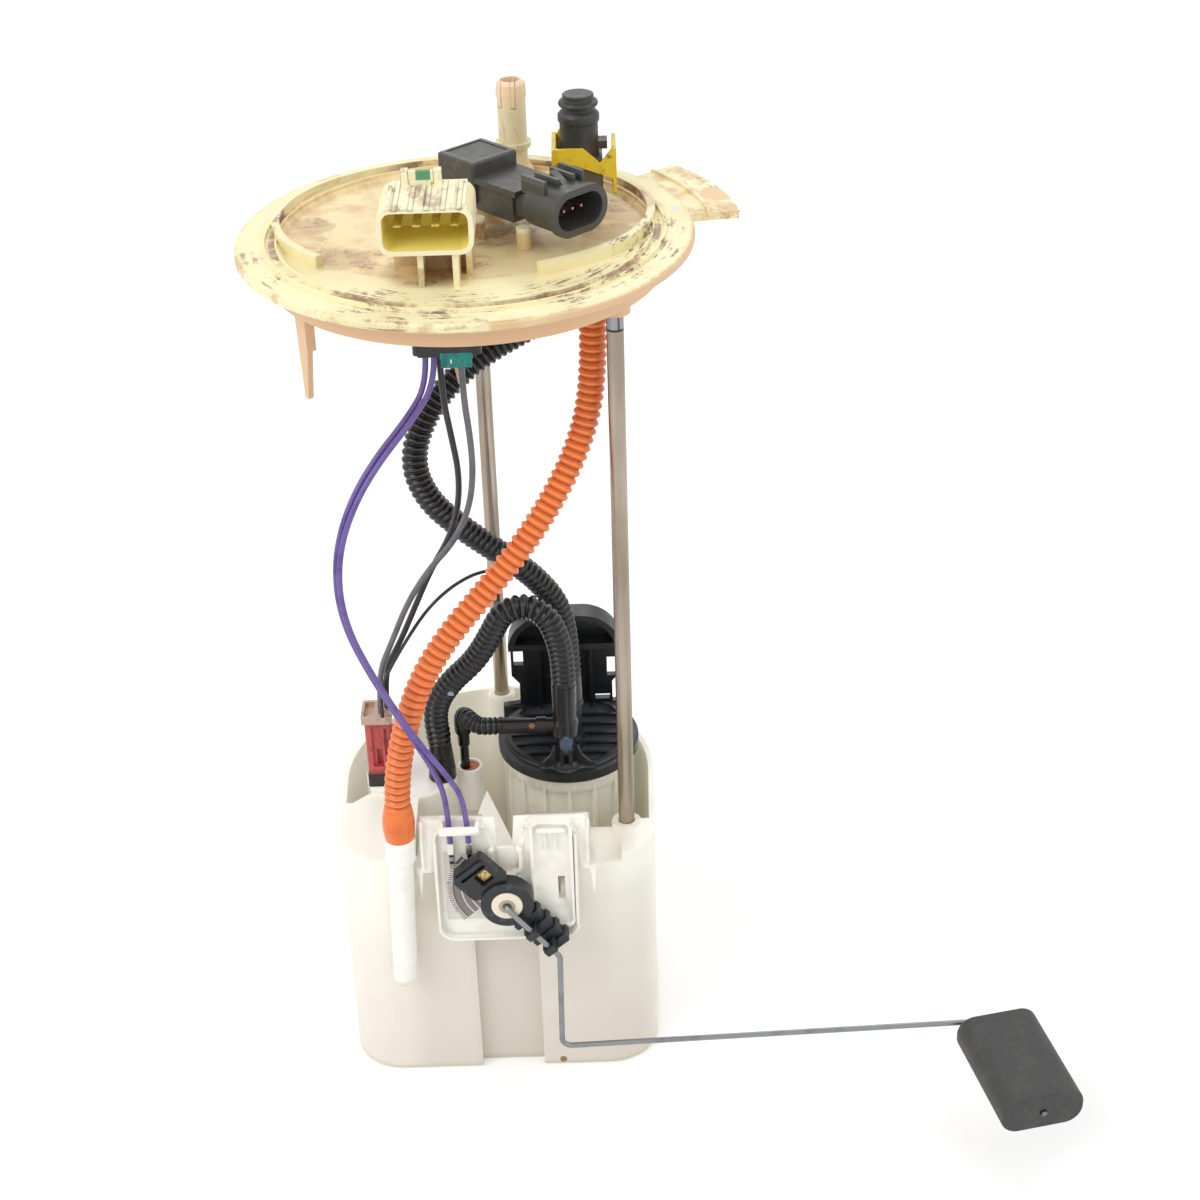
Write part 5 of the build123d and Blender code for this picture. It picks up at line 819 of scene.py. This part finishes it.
# The hoses: blow-moulded nylon tubes with round corrugations, and smooth cuffs that are pushed hot over their
# barbs. They bend as the cup rises; the orange one returns fuel, and the black ones deliver it.
def line_through(name, points):
    """Smooth curve that the points steer, as a spline."""
    data = bpy.data.curves.new(name, "CURVE")
    data.dimensions = "3D"
    data.resolution_u = 24
    spline = data.splines.new("NURBS")
    spline.points.add(len(points) - 1)
    for knot, point in zip(spline.points, points):
        knot.co = (*point, 1.0)
    spline.order_u = 3
    spline.use_endpoint_u = True
    return placed(name, data)


def followed(curve):
    """Points along the curve, close together, and its length."""
    bpy.context.view_layer.update()
    mesh = bpy.data.meshes.new_from_object(curve.evaluated_get(bpy.context.evaluated_depsgraph_get()))
    points = [tuple(v.co) for v in mesh.vertices]
    length = sum(math.dist(a, b) for a, b in zip(points, points[1:]))
    bpy.data.meshes.remove(mesh)
    return points, length


CUFF_SHADE, CUFF_SOFT = 0.6, 0.0018


def hose_tree():
    """Corrugated tube round a curve, with a plain cuff at each end, which may taper and swell."""
    cuffs = {f"{end}_{size}": usual for end in ("First", "Last") for size, usual in (
        ("Cuff_Length", 0.004), ("Cuff_Radius", 0.0048), ("Neck_Radius", 0.0048), ("Cuff_Swell", 0.0))}
    tree, given = begun("corrugated_hose", "Hose", Line="Geometry", Pitch=0.0032, Ridge_Radius=0.005,
                        Groove_Depth=0.0011, Roundness=0.7, **cuffs, Sides=24, Finish="Material")

    def maths(operation, *values, clamp=False):
        return worked(tree, operation, *values, clamp=clamp)

    def mixed(before, after, share):
        kept = maths("MULTIPLY", before, maths("SUBTRACT", 1.0, share))
        return maths("ADD", kept, maths("MULTIPLY", after, share))

    spread = added(tree, "GeometryNodeResampleCurve", mode="LENGTH", Curve=given["Line"],
                   Length=maths("DIVIDE", given["Pitch"], 10.0))
    along = tree.nodes.new("GeometryNodeSplineParameter").outputs["Length"]
    total = tree.nodes.new("GeometryNodeSplineLength").outputs["Length"]
    phase = maths("FRACT", maths("DIVIDE", along, given["Pitch"]))
    ridge = maths("POWER", maths("SINE", maths("MULTIPLY", phase, math.pi)), given["Roundness"])
    groove = maths("SUBTRACT", given["Ridge Radius"], given["Groove Depth"])
    radius = maths("ADD", groove, maths("MULTIPLY", ridge, given["Groove Depth"]))
    for end, distance in (("First", along), ("Last", maths("SUBTRACT", total, along))):
        cuff_length = given[end + " Cuff Length"]
        share = maths("DIVIDE", distance, cuff_length, clamp=True)
        bulge = maths("SINE", maths("MULTIPLY", share, math.pi))
        swell = maths("MULTIPLY", bulge, given[end + " Cuff Swell"])
        cuff = maths("ADD", mixed(given[end + " Cuff Radius"], given[end + " Neck Radius"], share), swell)
        inside = added(tree, "ShaderNodeMapRange", interpolation_type="SMOOTHSTEP", Value=distance,
                       From_Min=maths("SUBTRACT", cuff_length, CUFF_SOFT), From_Max=cuff_length,
                       To_Min=1.0, To_Max=0.0).outputs[0]
        radius = mixed(radius, cuff, inside)
        ridge = mixed(ridge, CUFF_SHADE, inside)
    marked = added(tree, "GeometryNodeStoreNamedAttribute", data_type="FLOAT",
                   Geometry=spread.outputs["Curve"], Name="ridge", Value=ridge)
    sized = added(tree, "GeometryNodeSetCurveRadius", Curve=marked.outputs["Geometry"], Radius=radius)
    ring = added(tree, "GeometryNodeCurvePrimitiveCircle", Resolution=given["Sides"], Radius=1.0)
    scale = tree.nodes.new("GeometryNodeInputRadius").outputs[0]
    skin = added(tree, "GeometryNodeCurveToMesh", Curve=sized.outputs["Curve"],
                 Profile_Curve=ring.outputs["Curve"], Scale=scale, Fill_Caps=True)
    return ended(tree, skin.outputs["Mesh"], given["Finish"])


def run_cord(node, route, thick, finish, blend_from=None, blend_to=None, **sizes):
    """A hose or lead on its route. Given blend_from, it keeps its place baked into its mesh and rides on no
    body; else it stays with the cup.
    """
    line = line_through(node + "_line", route)
    points, length = followed(line)
    piece = grown(node + "_skin", line, corrugated, Finish=finish.material, **sizes)
    piece.data.shade_smooth()
    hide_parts(node)
    if blend_from:
        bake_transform(piece)
    else:
        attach(piece, "reservoir")


corrugated = hose_tree()
HOSE_WIDE = 0.0098
orange = Finish("orange_nylon", (238, 122, 52), 0.3)
orange.mottle((214, 92, 40), 0.01, 4, 0.5, 0.8, 0.7)
# Painted shade in the grooves between the ridges, and a painted highlight along each crest.
orange.layer((142, 62, 34), orange.band(orange.carried("ridge"), 0.45, 0.05, 0.0, 0.8))
orange.layer((248, 158, 104), orange.band(orange.carried("ridge"), 0.86, 1.0, 0.0, 0.5))
orange.mottle((176, 82, 48), 0.0018, 5, 0.60, 0.72, 0.5, rough=0.7)
orange.glaze(0.004, 3, 0.2, 0.36)
orange.grain(0.0015, 3, 0.00002)
HOSE_GLINT = (-0.0171, -0.0085, 0.1574)
black_hose = Finish("black_hose", (18, 19, 21), 0.2)
black_hose.mottle((44, 46, 50), 0.006, 5, 0.55, 0.72, 0.5, rough=0.65)
# Painted shade in the grooves between the ridges, and a painted highlight along each crest.
black_hose.layer((6, 6, 7), black_hose.band(black_hose.carried("ridge"), 0.5, 0.1, 0.0, 0.9))
black_hose.layer((64, 66, 70), black_hose.band(black_hose.carried("ridge"), 0.86, 1.0, 0.0, 0.5))
black_hose.layer((156, 176, 204), black_hose.spot(HOSE_GLINT, 0.0014, 0.0005))
black_hose.glaze(0.003, 3, 0.14, 0.34)
black_hose.grain(0.002, 2, 0.00003)

run_cord("return_hose", [
    (0.0457, -0.028, 0.3385), (0.0457, -0.028, 0.313), (0.0418, -0.0308, 0.289), (0.0315, -0.038, 0.268),
    (0.018, -0.046, 0.2495), (0.003, -0.052, 0.233), (-0.012, -0.058, 0.2175), (-0.024, -0.0625, 0.1995),
    (-0.032, -0.0654, 0.176), (-0.0364, -0.066, 0.151), (-0.0364, -0.066, 0.1294)],
    HOSE_WIDE, orange, (-0.0364, -0.066, 0.135), (-0.0364, -0.066, 0.33), Pitch=0.00325, Ridge_Radius=0.00515,
    Groove_Depth=0.0013, Roundness=1.15, Last_Cuff_Length=0.0165, Last_Cuff_Radius=0.0058,
    Last_Neck_Radius=0.0050, Last_Cuff_Swell=0.0010)
run_cord("supply_hose", [
    (0.0426, 0.0339, 0.3385), (0.0426, 0.0339, 0.325), (0.034, 0.028, 0.3115), (0.0205, 0.0195, 0.307),
    (0.005, 0.01, 0.3025), (-0.0095, 0.0015, 0.294), (-0.0205, -0.0045, 0.281), (-0.0256, -0.0075, 0.2645),
    (-0.0205, -0.007, 0.2475), (-0.008, -0.0035, 0.2325), (0.0067, 0, 0.2184), (0.0192, 0.0045, 0.205),
    (0.029, 0.0084, 0.188), (0.0315, 0.01, 0.165), (0.0315, 0.01, 0.142)],
    HOSE_WIDE, black_hose, (0.0315, 0.01, 0.155), (0.0315, 0.01, 0.33), Pitch=0.00275, Ridge_Radius=0.00515,
    Groove_Depth=0.0013, Roundness=1.1, Last_Cuff_Length=0.014, Last_Cuff_Radius=0.0052,
    Last_Neck_Radius=0.0049)
run_cord("pump_hose", [
    (-0.0235, -0.002, 0.1123), (-0.0235, -0.002, 0.128), (-0.0252, -0.0022, 0.1465),
    (-0.0175, -0.0044, 0.161), (-0.0065, -0.0068, 0.1725), (0.001, -0.0086, 0.1865),
    (0.006, -0.0102, 0.1976), (0.0158, -0.0112, 0.2014), (0.0242, -0.011, 0.1954), (0.0282, -0.0094, 0.182),
    (0.0293, -0.008, 0.1705), (0.0293, -0.008, 0.161)],
    HOSE_WIDE, black_hose, Pitch=0.00275, Ridge_Radius=0.00515, Groove_Depth=0.0013, Roundness=1.1,
    First_Cuff_Length=0.019, First_Cuff_Radius=0.0059, First_Neck_Radius=0.0046, Last_Cuff_Length=0.003,
    Last_Cuff_Radius=0.005)
run_cord("jumper_hose", [
    (0.0033, -0.008, 0.141), (-0.0016, -0.008, 0.141), (-0.007, -0.006, 0.1396), (-0.0116, -0.0014, 0.1414),
    (-0.0142, 0.0055, 0.138), (-0.0142, 0.0055, 0.130)],
    0.0074, black_hose, Pitch=0.0021, Ridge_Radius=0.0038, Groove_Depth=0.0009, First_Cuff_Length=0.002,
    First_Cuff_Radius=0.0037, First_Neck_Radius=0.0037, Last_Cuff_Length=0.003, Last_Cuff_Radius=0.0036,
    Last_Neck_Radius=0.0036)

# The leads: thin-walled copper wires, two purple ones to the sender, a grey and a black one to the pump, and
# a thinner black one that earths the filter. Crimps hold them in the harness plug above.
LEAD_WIDE = 0.0024
SENDER_LEAD_WIDE = 0.0022
EARTH_WIDE = 0.0014


def insulated(wide):
    """Sizes of a plain round lead."""
    radii = ("Ridge_Radius", "First_Cuff_Radius", "First_Neck_Radius", "Last_Cuff_Radius", "Last_Neck_Radius")
    return {"Pitch": 0.02, "Groove_Depth": 0.0, "Sides": 14} | {name: wide / 2 for name in radii}


purple = Finish("purple_lead", (110, 90, 158), 0.32)
purple.mottle((84, 60, 142), 0.006, 3, 0.45, 0.7, 0.7)
grey = Finish("grey_lead", (104, 105, 110), 0.36)
grey.mottle((80, 80, 84), 0.008, 3, 0.45, 0.7, 0.7)
black = Finish("black_lead", (36, 34, 38), 0.36)
black.mottle((66, 62, 64), 0.006, 4, 0.5, 0.75, 0.6)
for lead_finish in (purple, grey, black):
    lead_finish.glaze(0.003, 3, 0.25, 0.45)
    lead_finish.grain(0.0015, 2, 0.00003)
run_cord("wire_grey", [
    (-0.0019, -0.04, 0.3265), (-0.0019, -0.04, 0.3077), (-0.0004, -0.0394, 0.2915),
    (-0.0001, -0.0384, 0.2755), (-0.0026, -0.0364, 0.2595), (-0.0092, -0.0334, 0.244),
    (-0.0196, -0.0294, 0.2302), (-0.0296, -0.0246, 0.2127), (-0.038, -0.0184, 0.1905),
    (-0.046, -0.0108, 0.1695), (-0.046, -0.0108, 0.1512)],
    LEAD_WIDE, grey, (-0.046, -0.0108, 0.165), (-0.046, -0.0108, 0.318), **insulated(LEAD_WIDE))
run_cord("wire_black", [
    (-0.0096, -0.0386, 0.3265), (-0.0096, -0.0386, 0.3078), (-0.0074, -0.0374, 0.2905),
    (-0.0056, -0.0352, 0.274), (-0.007, -0.0318, 0.2575), (-0.0116, -0.0276, 0.242),
    (-0.0198, -0.0228, 0.226), (-0.0278, -0.018, 0.206), (-0.0357, -0.0132, 0.186),
    (-0.0438, -0.0066, 0.169), (-0.0438, -0.0066, 0.1512)],
    LEAD_WIDE, black, (-0.0438, -0.0066, 0.165), (-0.0438, -0.0066, 0.318), **insulated(LEAD_WIDE))
run_cord("wire_purple_left", [
    (-0.0144, -0.041, 0.3265), (-0.0144, -0.041, 0.3135), (-0.022, -0.0496, 0.304), (-0.033, -0.059, 0.294),
    (-0.042, -0.0665, 0.282), (-0.0484, -0.071, 0.266), (-0.0504, -0.073, 0.249), (-0.0484, -0.0736, 0.232),
    (-0.0426, -0.0738, 0.215), (-0.0346, -0.0738, 0.197), (-0.0266, -0.0734, 0.18),
    (-0.0198, -0.0716, 0.1635), (-0.0166, -0.0678, 0.147), (-0.0166, -0.0678, 0.127)],
    SENDER_LEAD_WIDE, purple, (-0.0166, -0.0678, 0.14), (-0.0166, -0.0678, 0.318),
    **insulated(SENDER_LEAD_WIDE))
run_cord("wire_purple_right", [
    (-0.0112, -0.0418, 0.3265), (-0.0114, -0.042, 0.314), (-0.0202, -0.0514, 0.3036),
    (-0.0316, -0.061, 0.293), (-0.0406, -0.0684, 0.281), (-0.047, -0.073, 0.2656), (-0.049, -0.075, 0.249),
    (-0.047, -0.0756, 0.2324), (-0.0412, -0.0758, 0.2156), (-0.0332, -0.0758, 0.1978),
    (-0.0248, -0.0752, 0.1805), (-0.0158, -0.0722, 0.1635), (-0.0094, -0.0678, 0.147),
    (-0.0094, -0.0678, 0.127)],
    SENDER_LEAD_WIDE, purple, (-0.0094, -0.0678, 0.14), (-0.0094, -0.0678, 0.318),
    **insulated(SENDER_LEAD_WIDE))
run_cord("ground_wire", [
    (-0.0452, -0.014, 0.1512), (-0.0452, -0.014, 0.164), (-0.0402, -0.0174, 0.1766),
    (-0.0316, -0.0172, 0.1914), (-0.023, -0.012, 0.202), (-0.0126, -0.0054, 0.2084),
    (-0.0016, 0.0028, 0.2096), (0.0095, 0.0115, 0.204), (0.0186, 0.0176, 0.193), (0.026, 0.022, 0.178),
    (0.03, 0.024, 0.16), (0.03, 0.024, 0.1425)],
    EARTH_WIDE, black, **insulated(EARTH_WIDE))
